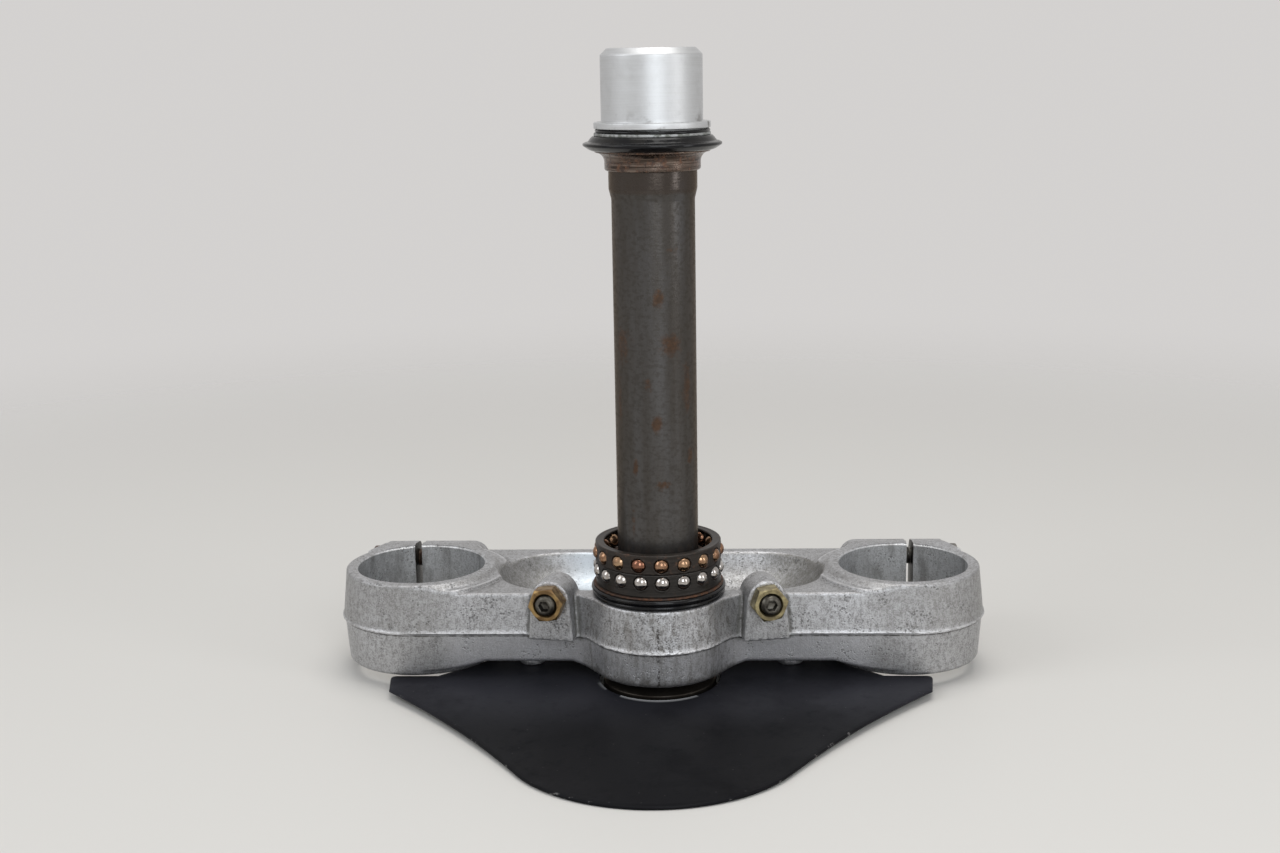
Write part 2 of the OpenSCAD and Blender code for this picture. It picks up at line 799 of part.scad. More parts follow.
module nut_o_ring() {
    color([0.04, 0.04, 0.04])
        translate([0, 0, groove_z + o_ring_d / 2])
            rotate_extrude()
                translate([nut_flange_r - o_ring_d / 2, 0])
                    circle(o_ring_d / 2);
}

// Outline of the splash plate: a round tip, hollow flanks, two wings and a tongue under the arms
module plate_outline() {
    tip_y = tip_r - plate_reach;
    corner_x = wing_x - wing_taper;
    corner_y = wing_y - wing_side;
    gap = sqrt(pow(corner_x, 2) + pow(corner_y - tip_y, 2));
    reach = tip_r + flank_r;
    lean = atan2(corner_y - tip_y, corner_x);
    turn = acos((pow(gap, 2) + pow(reach, 2) - pow(flank_r, 2)) / (2 * gap * reach));
    touch_x = tip_r * cos(lean - turn);
    touch_y = tip_y + tip_r * sin(lean - turn);
    corner = [for (i = [0:5])
        [wing_x - wing_corner_r * (1 - cos(i * 18)), wing_y - wing_corner_r * (1 - sin(i * 18))]];
    half = concat(
        [[0, touch_y], [touch_x, touch_y], [corner_x, corner_y]],
        corner,
        [[fork_x - 10, wing_y], [tongue_x, wing_y + 21], [tongue_x, tongue_y - tongue_cut],
         [tongue_x - tongue_cut, tongue_y], [0, tongue_y]]);
    difference() {
        union() {
            translate([0, tip_y])
                circle(tip_r);
            polygon(half);
            polygon(mirrored(half));
        }
        for (side = [-1, 1])
            translate([side * reach * cos(lean - turn), tip_y + reach * sin(lean - turn)])
                circle(flank_r);
    }
}

module splash_plate() {
    color([0.06, 0.06, 0.07])
        on_plate()
            difference() {
                linear_extrude(plate_t)
                    plate_outline();
                translate([0, 0, -over])
                    cylinder(h = plate_t + 2 * over, r = plate_hole_r);
                for (side = [-1, 1])
                    translate([side * plate_screw_x, plate_screw_y, -over])
                        cylinder(h = plate_t + 2 * over, r = plate_screw_d / 2 + bolt_clearance);
            }
}

module plate_screw(side) {
    color([0.12, 0.12, 0.12])
        at_plate_screw(side)
            rotate([180, 0, 0])
                socket_screw(plate_screw_d, plate_screw_len, plate_head_d, plate_head_h, plate_screw_d / 2);
}

lower_yoke();
steering_stem();
lower_dust_seal();
lower_seal_washer();
lower_bearing_cone();
lower_ball_cage();
lower_balls();
upper_ball_cage();
upper_balls();
upper_bearing_cone();
upper_dust_seal();
adjuster_nut();
nut_o_ring();
stop_screw(-1);  // left_stop_screw
stop_screw(1);  // right_stop_screw
lock_nut(-1);  // left_lock_nut
lock_nut(1);  // right_lock_nut
pinch_bolt(-1, ring_foot + upper_bolt_rise);  // left_upper_pinch_bolt
pinch_bolt(-1, ring_foot + lower_bolt_rise);  // left_lower_pinch_bolt
pinch_bolt(1, ring_foot + upper_bolt_rise);  // right_upper_pinch_bolt
pinch_bolt(1, ring_foot + lower_bolt_rise);  // right_lower_pinch_bolt
splash_plate();
plate_screw(-1);  // left_plate_screw
plate_screw(1);  // right_plate_screw
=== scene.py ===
# %% [markdown]
# A lower triple clamp from a motorcycle, stood on its stem's foot and photographed on a white table.
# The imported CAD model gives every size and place. This script dresses it: a cast yoke with soft
# edges, a dark rusty stem, ball cages, rubber seals, a turned nut and a black splash plate.
# Lengths in the maths are millimetres, as on a drawing, and become metres when a mesh is made.

import json
import math

import bpy
import numpy as np
from mathutils import Matrix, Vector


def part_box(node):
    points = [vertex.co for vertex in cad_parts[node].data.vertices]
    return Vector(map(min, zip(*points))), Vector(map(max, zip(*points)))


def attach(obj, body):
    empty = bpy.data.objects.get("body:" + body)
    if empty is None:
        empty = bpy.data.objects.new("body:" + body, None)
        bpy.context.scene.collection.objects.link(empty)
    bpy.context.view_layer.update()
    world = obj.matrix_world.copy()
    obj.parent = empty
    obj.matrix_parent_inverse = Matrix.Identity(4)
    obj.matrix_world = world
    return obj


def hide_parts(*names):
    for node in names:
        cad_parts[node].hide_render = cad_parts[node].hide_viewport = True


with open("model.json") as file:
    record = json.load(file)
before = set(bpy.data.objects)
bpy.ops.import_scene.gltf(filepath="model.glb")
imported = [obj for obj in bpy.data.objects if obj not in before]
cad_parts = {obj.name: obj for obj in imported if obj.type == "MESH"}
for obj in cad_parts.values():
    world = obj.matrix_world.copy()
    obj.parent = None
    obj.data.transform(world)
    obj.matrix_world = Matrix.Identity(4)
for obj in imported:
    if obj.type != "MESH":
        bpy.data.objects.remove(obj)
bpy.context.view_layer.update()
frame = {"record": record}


MM = 0.001
mounts = {m["name"]: m for m in frame["record"]["mounts"]}


def span(node):
    """Lowest and highest corner of a CAD node, in millimetres."""
    low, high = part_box(node)
    return np.array(low) / MM, np.array(high) / MM


fork = mounts["right_fork_clamp"]
FORK_X, FORK_Y, fork_z = (v / MM for v in fork["pos_m"])
FORK_R = fork["dims"]["r_mm"]
RING_FOOT = fork_z - fork["dims"]["length_mm"] / 2
RING_TOP = fork_z + fork["dims"]["length_mm"] / 2
print("fork clamps at", FORK_X, FORK_Y, "from", RING_FOOT, "to", RING_TOP)

# %% [markdown]
# Three small tools make all the shapes. A revolve turns a profile about an axis, as a lathe does. A
# grid turns two parameters into a sheet. A skin wraps a solid that is given as a distance field, a
# number that is negative in the metal and grows outwards, which is how a casting's soft blends are
# easiest to write: a rounded union of two fields is a fillet.

# %% Meshes from arrays


def mesh_piece(name, points, *face_groups, smooth_angle=None):
    """Puts points in millimetres into a new object that stands at the origin. Each group of faces is
    an array with one row of corner numbers for each face."""
    mesh = bpy.data.meshes.new(name)
    groups = [np.asarray(g, np.int32) for g in face_groups]
    corners = np.concatenate([np.full(len(g), g.shape[1]) for g in groups])
    mesh.vertices.add(len(points))
    mesh.vertices.foreach_set("co", (np.asarray(points, float) * MM).ravel())
    mesh.loops.add(int(corners.sum()))
    mesh.loops.foreach_set("vertex_index", np.concatenate([g.ravel() for g in groups]))
    mesh.polygons.add(len(corners))
    mesh.polygons.foreach_set("loop_start", (np.cumsum(corners) - corners).astype(np.int32))
    mesh.update(calc_edges=True)
    mesh.validate()
    mesh.polygons.foreach_set("use_smooth", np.ones(len(mesh.polygons), bool))
    if smooth_angle:
        mesh.set_sharp_from_angle(angle=math.radians(smooth_angle))
    piece = bpy.data.objects.new(name, mesh)
    bpy.context.scene.collection.objects.link(piece)
    return piece


def grid_faces(rows, columns, close_rows=False, close_columns=False):
    """Four corners of each cell of a grid whose rows and columns may run round and join."""
    i, j = np.meshgrid(np.arange(rows if close_rows else rows - 1),
                       np.arange(columns if close_columns else columns - 1), indexing="ij")
    a, b = (i + 1) % rows, (j + 1) % columns
    return np.stack([i * columns + j, a * columns + j, a * columns + b, i * columns + b], -1).reshape(-1, 4)


def rounded(profile, radius, steps=4):
    """Rounds each corner of a closed profile with a short arc, and keeps the flats flat.

    A corner is replaced by points of the curve P + (1-t)^2 A + t^2 B, where A and B point along the
    two sides, as long as the radius or a third of the shorter side.
    """
    corner = np.asarray(profile, float)
    back = np.roll(corner, 1, 0) - corner
    ahead = np.roll(corner, -1, 0) - corner
    length = np.minimum(np.hypot(*back.T), np.hypot(*ahead.T))
    reach = np.minimum(np.broadcast_to(radius, length.shape), length / 3)[:, None]
    back = back / np.hypot(*back.T)[:, None] * reach
    ahead = ahead / np.hypot(*ahead.T)[:, None] * reach
    t = np.linspace(0, 1, steps + 1)[:, None, None]
    arc = corner + (1 - t) ** 2 * back + t ** 2 * ahead
    return arc.transpose(1, 0, 2).reshape(-1, 2)


def finer(profile, longest):
    """Cuts the long sides of a closed profile into pieces no longer than the given length."""
    profile = np.asarray(profile, float)
    ahead = np.roll(profile, -1, 0)
    counts = np.maximum(1, np.ceil(np.hypot(*(ahead - profile).T) / longest).astype(int))
    return np.concatenate([a + (b - a) * (np.arange(n) / n)[:, None]
                           for a, b, n in zip(profile, ahead, counts)])


def revolve(name, profile, around=160, centre=(0, 0)):
    """Turns a closed profile of (radius, height) about Z: x = r cos a, y = r sin a, z = h."""
    profile = np.asarray(profile, float)
    a = np.linspace(0, 2 * math.pi, around, endpoint=False)[:, None]
    r, h = profile[:, 0], profile[:, 1]
    heights = np.broadcast_to(h, (around, len(r)))
    points = np.stack([centre[0] + r * np.cos(a), centre[1] + r * np.sin(a), heights], -1)
    faces = grid_faces(around, len(profile), close_rows=True, close_columns=True)
    turn = np.sum(r * np.roll(h, -1) - np.roll(r, -1) * h)
    return mesh_piece(name, points.reshape(-1, 3), faces if turn > 0 else faces[:, ::-1])


def turned_piece(name, profile, node, radius=0.3, around=160, longest=None, centre=(0, 0)):
    """A lathe-turned piece with rounded corners that stands for a CAD node."""
    profile = rounded(profile, radius)
    if longest:
        profile = finer(profile, longest)
    piece = revolve(name, profile, around, centre)
    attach(piece, "root")
    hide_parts(node)
    print(name, "has", len(piece.data.polygons), "faces")
    return piece


# %% Skins of distance fields


def round_union(a, b, r):
    """Union of two fields with a fillet of radius r: max(r, min(a, b)) less the length of
    (r - a, r - b), in which negative numbers count as 0."""
    return np.maximum(r, np.minimum(a, b)) - np.hypot(np.maximum(r - a, 0), np.maximum(r - b, 0))


def round_cut(a, b, r):
    """Common part of two fields with its edge rounded to radius r: min(-r, max(a, b)) plus the
    length of (r + a, r + b), in which negative numbers count as 0."""
    return np.minimum(-r, np.maximum(a, b)) + np.hypot(np.maximum(r + a, 0), np.maximum(r + b, 0))


def slope_of(field, p, h=0.04):
    """Gradient of a field at points p by central differences."""
    steps = np.eye(3) * h
    return np.stack([(field(*(p + s).T) - field(*(p - s).T)) / (2 * h) for s in steps], -1)


def onto_skin(field, p, rounds=3):
    """Newton's steps onto the surface: p becomes p - f g / |g|^2, where g is the gradient."""
    for _ in range(rounds):
        g = slope_of(field, p)
        f = field(*p.T)
        step = (f / np.maximum((g ** 2).sum(1), 0.05))[:, None] * g
        size = np.linalg.norm(step, axis=1, keepdims=True)
        p = p - step * np.minimum(1, 0.5 / np.maximum(size, 1e-9))
    return p


def skin(field, low, high, step, evened=2):
    """Points and faces of a field's surface: one point in each grid cell that the surface crosses, at
    the mean of the crossings on the cell's edges, and one face round each grid edge that it crosses."""
    axes = [np.arange(a, b + step, step) for a, b in zip(low, high)]
    f = field(*np.meshgrid(*axes, indexing="ij"))
    inside = f < 0
    corner = [(a, b, c) for a in (0, 1) for b in (0, 1) for c in (0, 1)]

    def shifted(array, o):
        """The array of the cells' corners that lie at an offset from the first one."""
        return array[tuple(slice(k, n - 1 + k) for k, n in zip(o, array.shape))]

    count = sum(shifted(inside, o).astype(np.int8) for o in corner)
    cell = np.stack(np.nonzero((count > 0) & (count < 8)), -1)
    index = np.full(count.shape, -1, np.int64)
    index[tuple(cell.T)] = np.arange(len(cell))
    value = {o: f[tuple((cell + o).T)] for o in corner}
    total, hits = np.zeros((len(cell), 3)), np.zeros(len(cell))
    for o in corner:
        for axis in range(3):
            if o[axis]:
                continue
            end = tuple(1 if k == axis else v for k, v in enumerate(o))
            crossed = (value[o] < 0) != (value[end] < 0)
            t = np.where(crossed, value[o] / np.where(crossed, value[o] - value[end], 1), 0)
            at = np.array(o) + t[:, None] * np.eye(3)[axis]
            total += at * crossed[:, None]
            hits += crossed
    points = np.array(low) + (cell + total / hits[:, None]) * step
    faces = []
    for axis in range(3):
        u, v = (axis + 1) % 3, (axis + 2) % 3
        first = [slice(1, -1)] * 3
        second = [slice(1, -1)] * 3
        first[axis], second[axis] = slice(0, -1), slice(1, None)
        a, b = inside[tuple(first)], inside[tuple(second)]
        at = np.stack(np.nonzero(a != b), -1)
        leaving = a[tuple(at.T)]
        across, upward = np.eye(3, dtype=int)[u], np.eye(3, dtype=int)[v]
        quad = np.stack([index[tuple((at + o).T)] for o in (0 * across, across, across + upward, upward)], -1)
        faces.append(np.where(leaving[:, None], quad, quad[:, ::-1]))
    faces = np.concatenate(faces)
    for _ in range(evened):
        total, hits = np.zeros_like(points), np.zeros(len(points))
        for k in range(4):
            a, b = faces[:, k], faces[:, (k + 1) % 4]
            for axis in range(3):
                total[:, axis] += np.bincount(a, points[b, axis], len(points))
            hits += np.bincount(a, minlength=len(points))
        g = slope_of(field, points)
        g /= np.maximum(np.linalg.norm(g, axis=1, keepdims=True), 1e-9)
        slide = total / hits[:, None] - points
        points = points + 0.6 * (slide - (slide * g).sum(1, keepdims=True) * g)
        points = onto_skin(field, points, 1)
    return onto_skin(field, points), faces


# %% [markdown]
# The photograph was taken from in front of the table, a little above the top of the nut, with the
# lens tipped down. The numbers were worked out from the clamp bores, the stem and the seals.

# %% The camera
LENS, SENSOR_WIDTH = 47.81, 36
TILT, ROLL, PAN = 0.2161, -0.0166, -0.0449  # in radians
EYE = np.array([23.28, -664.40, 256.56])


def camera_axes():
    """Right, up and backward axes of a camera that is panned, then tipped, then rolled."""
    right = np.array([math.cos(PAN), -math.sin(PAN), 0])
    ahead = np.array([math.sin(PAN), math.cos(PAN), 0])
    view = ahead * math.cos(TILT) - np.array([0, 0, 1]) * math.sin(TILT)
    up = np.array([0, 0, 1]) * math.cos(TILT) + ahead * math.sin(TILT)
    return (right * math.cos(ROLL) + up * math.sin(ROLL), up * math.cos(ROLL) - right * math.sin(ROLL), -view)


camera = bpy.data.objects.new("camera", bpy.data.cameras.new("camera"))
bpy.context.scene.collection.objects.link(camera)
bpy.context.scene.camera = camera
camera.data.lens = LENS
camera.data.sensor_width = SENSOR_WIDTH
camera.data.clip_start = 0.05
pose = np.eye(4)
pose[:3, :3] = np.stack(camera_axes(), 1)
pose[:3, 3] = EYE * MM
camera.matrix_world = Matrix(pose.tolist())
print("camera at", EYE, "with a lens of", LENS, "mm")

# %% [markdown]
# Looks are built from nodes. A node could be added and linked by hand, in four or five lines each.
# Two short helpers do that instead, so that the room and each material read like a recipe.

# %% Adding and feeding nodes


def feed(tree, node, feeds):
    """Gives each input of a node a value or another node's output."""
    for key, value in feeds.items():
        if isinstance(value, bpy.types.NodeSocket):
            tree.links.new(value, node.inputs[key])
        else:
            node.inputs[key].default_value = value


def put(tree, kind, feeds=None, **settings):
    """Adds a shader node, sets it up and feeds its inputs."""
    made = tree.nodes.new("ShaderNode" + kind)
    for key, value in settings.items():
        setattr(made, key, value)
    feed(tree, made, feeds or {})
    return made


# %% [markdown]
# The table is white. The floor here is a disc that fades out into the backdrop's colour, so that no
# horizon shows from any side. Rays that the camera sees, directly or in a mirror, meet the backdrop,
# and all others meet a weak cool fill. Four soft lamps stand in for the light from above, the window
# on the left, and what the room throws back from the front and from the right.

# %% Backdrop and lamps
BACKDROP = (0.655, 0.64, 0.63)
FILL, FILL_POWER = (0.93, 0.96, 1.0), 0.45
scene = bpy.context.scene
scene.view_settings.view_transform = "Standard"
world = bpy.data.worlds.new("studio")
scene.world = world
world.use_nodes = True
tree = world.node_tree
tree.nodes.clear()
rays = put(tree, "LightPath").outputs
showing = rays["Is Camera Ray"]
for ray in ("Is Glossy Ray", "Is Transmission Ray"):
    showing = put(tree, "Math", {0: showing, 1: rays[ray]}, operation="MAXIMUM").outputs[0]
fill = put(tree, "Background", {"Color": (*FILL, 1), "Strength": FILL_POWER}).outputs[0]
seen = put(tree, "Background", {"Color": (*BACKDROP, 1)}).outputs[0]
pick = put(tree, "MixShader", {"Fac": showing, 1: fill, 2: seen}).outputs[0]
put(tree, "OutputWorld", {"Surface": pick})


def lamp(name, place, aim, width, height, power, colour=(1, 1, 1)):
    """A soft rectangular lamp at a place in metres, turned towards another place."""
    data = bpy.data.lights.new(name, "AREA")
    data.shape = "RECTANGLE"
    data.size, data.size_y = width, height
    data.energy = power
    data.color = colour
    light = bpy.data.objects.new(name, data)
    scene.collection.objects.link(light)
    light.location = place
    away = np.array(place, float) - np.array(aim, float)
    away /= np.linalg.norm(away)
    side = np.cross((0, 0, 1), away)
    side = side / np.linalg.norm(side) if np.linalg.norm(side) > 1e-6 else np.array([1.0, 0, 0])
    turn = np.eye(4)
    turn[:3, :3] = np.stack([side, np.cross(away, side), away], 1)
    turn[:3, 3] = place
    light.matrix_world = Matrix(turn.tolist())


lamp("overhead", (0.1, 0.1, 1.5), (0, 0, 0.05), 0.9, 0.8, 8.4, (1, 0.99, 0.97))
lamp("window", (-1.1, -0.5, 0.9), (0, 0, 0.1), 0.7, 0.9, 5, (0.93, 0.96, 1))
lamp("bounce", (0.20, -0.95, 0.50), (0, 0, 0.1), 0.50, 0.60, 3.6, (0.90, 0.95, 1))
lamp("side", (0.95, -0.50, 0.40), (0, 0, 0.1), 0.30, 0.60, 1.8, (0.97, 0.98, 1))
print("lamps:", len(bpy.data.lights))

# %% The table
TABLE, TABLE_ROUGHNESS = (0.68, 0.655, 0.615), 0.55
FADE_START, FADE_END = 0.30, 1.1  # metres from the middle


def floor_disc(radius=2.0, rings=24, around=96):
    """A flat disc: point (r cos a, r sin a, 0) with r from the middle out."""
    r = np.linspace(0.001, radius / MM, rings)[:, None]
    a = np.linspace(0, 2 * math.pi, around, endpoint=False)
    points = np.stack([r * np.cos(a), r * np.sin(a), np.zeros((rings, around))], -1)
    return mesh_piece("table", points.reshape(-1, 3), grid_faces(rings, around, close_columns=True))


table = floor_disc()
paint = bpy.data.materials.new("white_table")
paint.use_nodes = True
table.data.materials.append(paint)
tree = paint.node_tree
body = tree.nodes["Principled BSDF"]
feed(tree, body, {"Base Color": (*TABLE, 1), "Roughness": TABLE_ROUGHNESS})
here = put(tree, "TexCoord").outputs["Object"]
reach = put(tree, "VectorMath", {0: here}, operation="LENGTH").outputs["Value"]
fade = put(tree, "MapRange", {"Value": reach, "From Min": FADE_START, "From Max": FADE_END},
           interpolation_type="SMOOTHERSTEP").outputs["Result"]
clear = put(tree, "BsdfTransparent").outputs[0]
blend = put(tree, "MixShader", {"Fac": fade, 1: body.outputs[0], 2: clear}).outputs[0]
feed(tree, tree.nodes["Material Output"], {"Surface": blend})
print("table of", len(table.data.polygons), "faces")

# %% [markdown]
# The yoke was cast in a mould of two halves. That gives walls that lean a few degrees, a bead where
# the halves met, soft edges everywhere and fillets in the corners. A distance field says all this in
# a few lines: plan outline minus draft, height limits, and rounded unions. After casting, the fork
# bores and slits were machined, so they are cut with crisp edges from the finished skin.

# %% The casting as a distance field
RING_R = FORK_R + 4.8
BOSS_R, BOSS_FOOT, BOSS_TOP = 26.6, 9.7, RING_TOP - 3.0
ARM_FOOT, ARM_TOP = 12.0, RING_TOP - 3.2
PARTING_RISE = 18.5
PARTING = RING_FOOT + PARTING_RISE
TROUGH_FLOOR = ARM_TOP - 14
TROUGH_WALL, TROUGH_HALF = 7, 26.5  # from the fork's bore to the trough, and half the trough's width
TROUGH_END = FORK_X - FORK_R - TROUGH_WALL - TROUGH_HALF
BOWL_R, BOWL_FLAT = 20.0, 7.42
LUG_X, LUG_Y, LUG_Z, LUG_TURN = 44, -9, RING_TOP - 4.1, math.radians(12)  # a stop screw's axis
LUG_R, LUG_TALL, LUG_DEEP = 8.1, 16.8, 14.5
BOLT_Y, BOLT_LOW, BOLT_HIGH = 38, 9, 30.5  # the pinch bolts' distance from the forks, and their rises
PINCH_IN, PINCH_OUT, PINCH_ROUND = 24.3, 21.5, 7.3
PILLAR_X, PILLAR_Y, PILLAR_R, PILLAR_FOOT = 54.5, 17, 5.5, 5.3


def wall_growth(z):
    """How far a cast wall stands out at height z: a lean of 6 degrees above the parting line, the
    bead, and a lean of 4 degrees back under it."""
    high = (RING_TOP - PARTING - 2.7) * math.tan(math.radians(6))
    low = high + 0.8 - 1.2
    heights = [RING_FOOT, PARTING - 0.15, PARTING + 0.15, PARTING + 0.8, PARTING + 1.6, RING_TOP]
    growth = [low - PARTING_RISE * math.tan(math.radians(4)), low, high + 0.7, high + 0.6, high + 0.05, 0]
    return np.interp(z, heights, growth)


def arm_top(ring, boss):
    """Height of the arms' top: flat, with a shoulder that rises to the rings in a hollow curve and
    ends in a small ridge."""
    away, rise = [-0.4, 0.5, 1.6, 3.0, 4.3, 5.0, 5.6, 5.9], [3.2, 2.5, 1.65, 1.1, 1.25, 1.2, 0.15, 0]
    shoulder = np.interp(ring - RING_R, away, rise)
    return ARM_TOP + np.maximum(shoulder, np.interp(boss, [BOSS_R, BOSS_R + 1.5], [BOSS_TOP - ARM_TOP, 0]))


def arm_foot(x, ring, boss):
    """Height of the arms' underside, which drops towards the rings and the boss."""
    near = np.clip((x - 72) / 30, 0, 1)
    drop = 5.0 * (1 - (1 - near) ** 2)
    drop = np.maximum(drop, np.interp(ring, [RING_R, RING_R + 1.5, RING_R + 5], [4.0, 1.6, 0]))
    drop = np.maximum(drop, np.interp(boss, [BOSS_R + 0.6, BOSS_R + 3, BOSS_R + 9], [2.3, 1.5, 0]))
    return ARM_FOOT - drop


def stop_lug(x, y, z):
    """Arched lug for a steering stop, turned 12 degrees outwards, from its face back to the arm."""
    px, py, pz = x - LUG_X, y - LUG_Y, z - LUG_Z
    across = px * math.cos(LUG_TURN) + py * math.sin(LUG_TURN)
    depth = -px * math.sin(LUG_TURN) + py * math.cos(LUG_TURN)
    side = np.abs(across) - LUG_R - 1.4 * np.clip(-pz / LUG_TALL, 0, 1)
    arch = np.where(pz > 0, np.hypot(across, pz) - LUG_R, side)
    lug = round_cut(arch, np.maximum(-depth, depth - LUG_DEEP), 0.7)
    return round_cut(lug, -LUG_TALL - pz, 0.5)


def pinch_lug(x, y, z):
    """Block in front of a ring that the pinch bolts draw together, round at its bolts."""
    v = y - FORK_Y
    roof = z - (RING_TOP - np.maximum(v - RING_R, 0) * 0.194)
    floor = RING_FOOT + np.maximum(v - RING_R, 0) * 0.28 - z
    block = np.maximum.reduce([v - BOLT_Y, roof, floor, 20 - v])
    nearest_bolt = np.clip(z, RING_FOOT + BOLT_LOW, RING_FOOT + BOLT_HIGH)
    ends = np.hypot(v - BOLT_Y, z - nearest_bolt) - PINCH_ROUND
    corner = 0.11 * np.maximum(v - 38.5, 0) ** 2
    lug = round_cut(np.minimum(block, ends), FORK_X - PINCH_IN - x + corner, PINCH_ROUND)
    return round_cut(lug, x - FORK_X - PINCH_OUT - 0.45 * np.maximum(33.5 - v, 0) + corner, 1.0)


def pillar(x, y, z):
    """Small round pillar that carries the splash plate under an arm."""
    wall = np.hypot(x - PILLAR_X, y - PILLAR_Y) - PILLAR_R
    return np.maximum.reduce([wall, PILLAR_FOOT - z, z - TROUGH_FLOOR + 1])


def pockets(x, y, z, ring, boss):
    """Two cored pockets in an arm's underside, which leave a rib, a floor and walls."""
    v = np.abs(y - FORK_Y)
    plan = round_cut(20 - x, 2.5 - v, 2.5)
    for wall in (v - RING_R + 4.4, BOSS_R + 5.6 - boss, RING_R + 5.6 - ring):
        plan = round_cut(plan, wall, 2.5)
    return round_cut(plan, z - TROUGH_FLOOR + 4.5, 1.5)


def trough(x, y, z):
    """The dished trough: a flat floor whose sides and ends curve up with a radius of 20 mm."""
    along = np.hypot(np.maximum(x - TROUGH_END, 0), y - FORK_Y)
    return np.hypot(np.maximum(along - BOWL_FLAT, 0), np.minimum(z - TROUGH_FLOOR - BOWL_R, 0)) - BOWL_R


def casting(x, y, z):
    """The whole yoke as cast, the same on both sides."""
    x = np.abs(x)
    ring = np.hypot(x - FORK_X, y - FORK_Y)
    boss = np.hypot(x, y)
    growth = wall_growth(z)
    body = np.hypot(np.maximum(x - FORK_X, 0), y - FORK_Y) - RING_R
    plan = round_union(body, boss - BOSS_R, 12) - growth
    arms = round_cut(plan, z - arm_top(ring, boss), 0.9)
    arms = round_cut(arms, arm_foot(x, ring, boss) - z, 1.4)
    rings = round_cut(round_cut(ring - RING_R - growth, z - RING_TOP, 0.8), RING_FOOT - z, 1.5)
    boss_wall = boss - BOSS_R - growth
    hub = round_cut(round_cut(boss_wall, z - BOSS_TOP, 0.9), BOSS_FOOT - z, 1.6)
    solid = np.minimum(np.minimum(arms, rings), hub)
    bowl = round_cut(trough(x, y, z), -boss_wall, 2.2)
    solid = round_cut(solid, -bowl, 1.5)
    solid = round_cut(solid, -pockets(x, y, z, ring, boss), 0.8)
    solid = round_union(solid, pinch_lug(x, y, z), 0.9)
    solid = round_union(solid, stop_lug(x, y, z), 1.3)
    return round_union(solid, pillar(x, y, z), 1.2)


STEP = 0.72
FIELD_LOW, FIELD_HIGH = (-139, -31, 4.2), (139, 77, 50)
points, faces = skin(casting, FIELD_LOW, FIELD_HIGH, STEP)
yoke = mesh_piece("yoke_casting", points, faces)
print("casting skin:", len(points), "points")

# %% [markdown]
# Machining comes next: each fork bore with a small chamfer at both ends, and the slit that lets the
# ring close. The cutters are plain solids, and a Boolean keeps their edges sharp.

# %% Cutting the fork bores and slits
SLIT_X, SLIT_W = FORK_X + 6, 2.9
CHAMFER, PAST = 0.6, 3  # a chamfer's size, and how far a cutter reaches past a face
MOST_FACES = 90000


def bore_cutter(name, side):
    """A long plug of the bore's radius that widens by the chamfer at the ring's two faces."""
    wide, low, high = FORK_R + CHAMFER, RING_FOOT - PAST, RING_TOP + PAST
    profile = [(0.01, low), (wide, low), (wide, RING_FOOT), (FORK_R, RING_FOOT + CHAMFER),
               (FORK_R, RING_TOP - CHAMFER), (wide, RING_TOP), (wide, high), (0.01, high)]
    return revolve(name, profile, 256, (side * FORK_X, FORK_Y))


def box_points(low, high):
    """The eight corners of a box, with the height changing fastest and the x slowest."""
    return np.array([[(low, high)[a][0], (low, high)[b][1], (low, high)[c][2]]
                     for a in (0, 1) for b in (0, 1) for c in (0, 1)])


BOX_FACES = [(0, 1, 3, 2), (4, 6, 7, 5), (0, 4, 5, 1), (2, 3, 7, 6), (0, 2, 6, 4), (1, 5, 7, 3)]


def cut_away(piece, cutters):
    """Takes cutters out of a piece with Boolean modifiers, and gives back one finished mesh."""
    for cutter in cutters:
        trim = piece.modifiers.new("cut", "BOOLEAN")
        trim.operation = "DIFFERENCE"
        trim.solver = "MANIFOLD"
        trim.object = cutter
    done = bpy.data.meshes.new_from_object(piece.evaluated_get(bpy.context.evaluated_depsgraph_get()))
    piece.modifiers.clear()
    piece.data = done
    for cutter in cutters:
        bpy.data.objects.remove(cutter)
    done.polygons.foreach_set("use_smooth", np.ones(len(done.polygons), bool))
    done.set_sharp_from_angle(angle=math.radians(38))


cutters = []
for side in (-1, 1):
    cutters.append(bore_cutter("bore_cutter", side))
    cutters.append(mesh_piece("slit_cutter", box_points(
        (side * SLIT_X - SLIT_W / 2, FORK_Y + FORK_R - 4, RING_FOOT - PAST),
        (side * SLIT_X + SLIT_W / 2, FORK_Y + 60, RING_TOP + PAST)), BOX_FACES))
thin = yoke.modifiers.new("thin", "DECIMATE")
thin.ratio = min(1, MOST_FACES / len(faces))
cut_away(yoke, cutters)
yoke.data.name = "yoke_casting"
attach(yoke, "root")
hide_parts("lower_yoke")
print("machined casting:", len(yoke.data.vertices), "points", len(yoke.data.polygons), "faces")

# %% [markdown]
# Wear, dirt and painted light and shade follow the shape. The same field tells where metal sticks out
# and where it is hollow: a step inwards from an edge comes out nearer to the surface than the step is
# long, and so does a step outwards from a corner. These numbers, and others that mark the boss, the
# rings, the trough and the parting line, are kept on the mesh for the material to read. They could be
# painted by hand, but worked out from the field they follow the shape when a size changes.

# %% Edges, corners and machined faces as numbers on the mesh


def read(items, key):
    """One vector for each point or face of a mesh, in millimetres."""
    values = np.empty(len(items) * 3)
    items.foreach_get(key, values)
    return values.reshape(-1, 3) / MM


def keep_numbers(piece, name, values, domain="POINT"):
    """Stores one number for each point or face under a name that a material can read."""
    numbers = piece.data.attributes.new(name, "FLOAT", domain)
    numbers.data.foreach_set("value", np.asarray(values, np.float32))


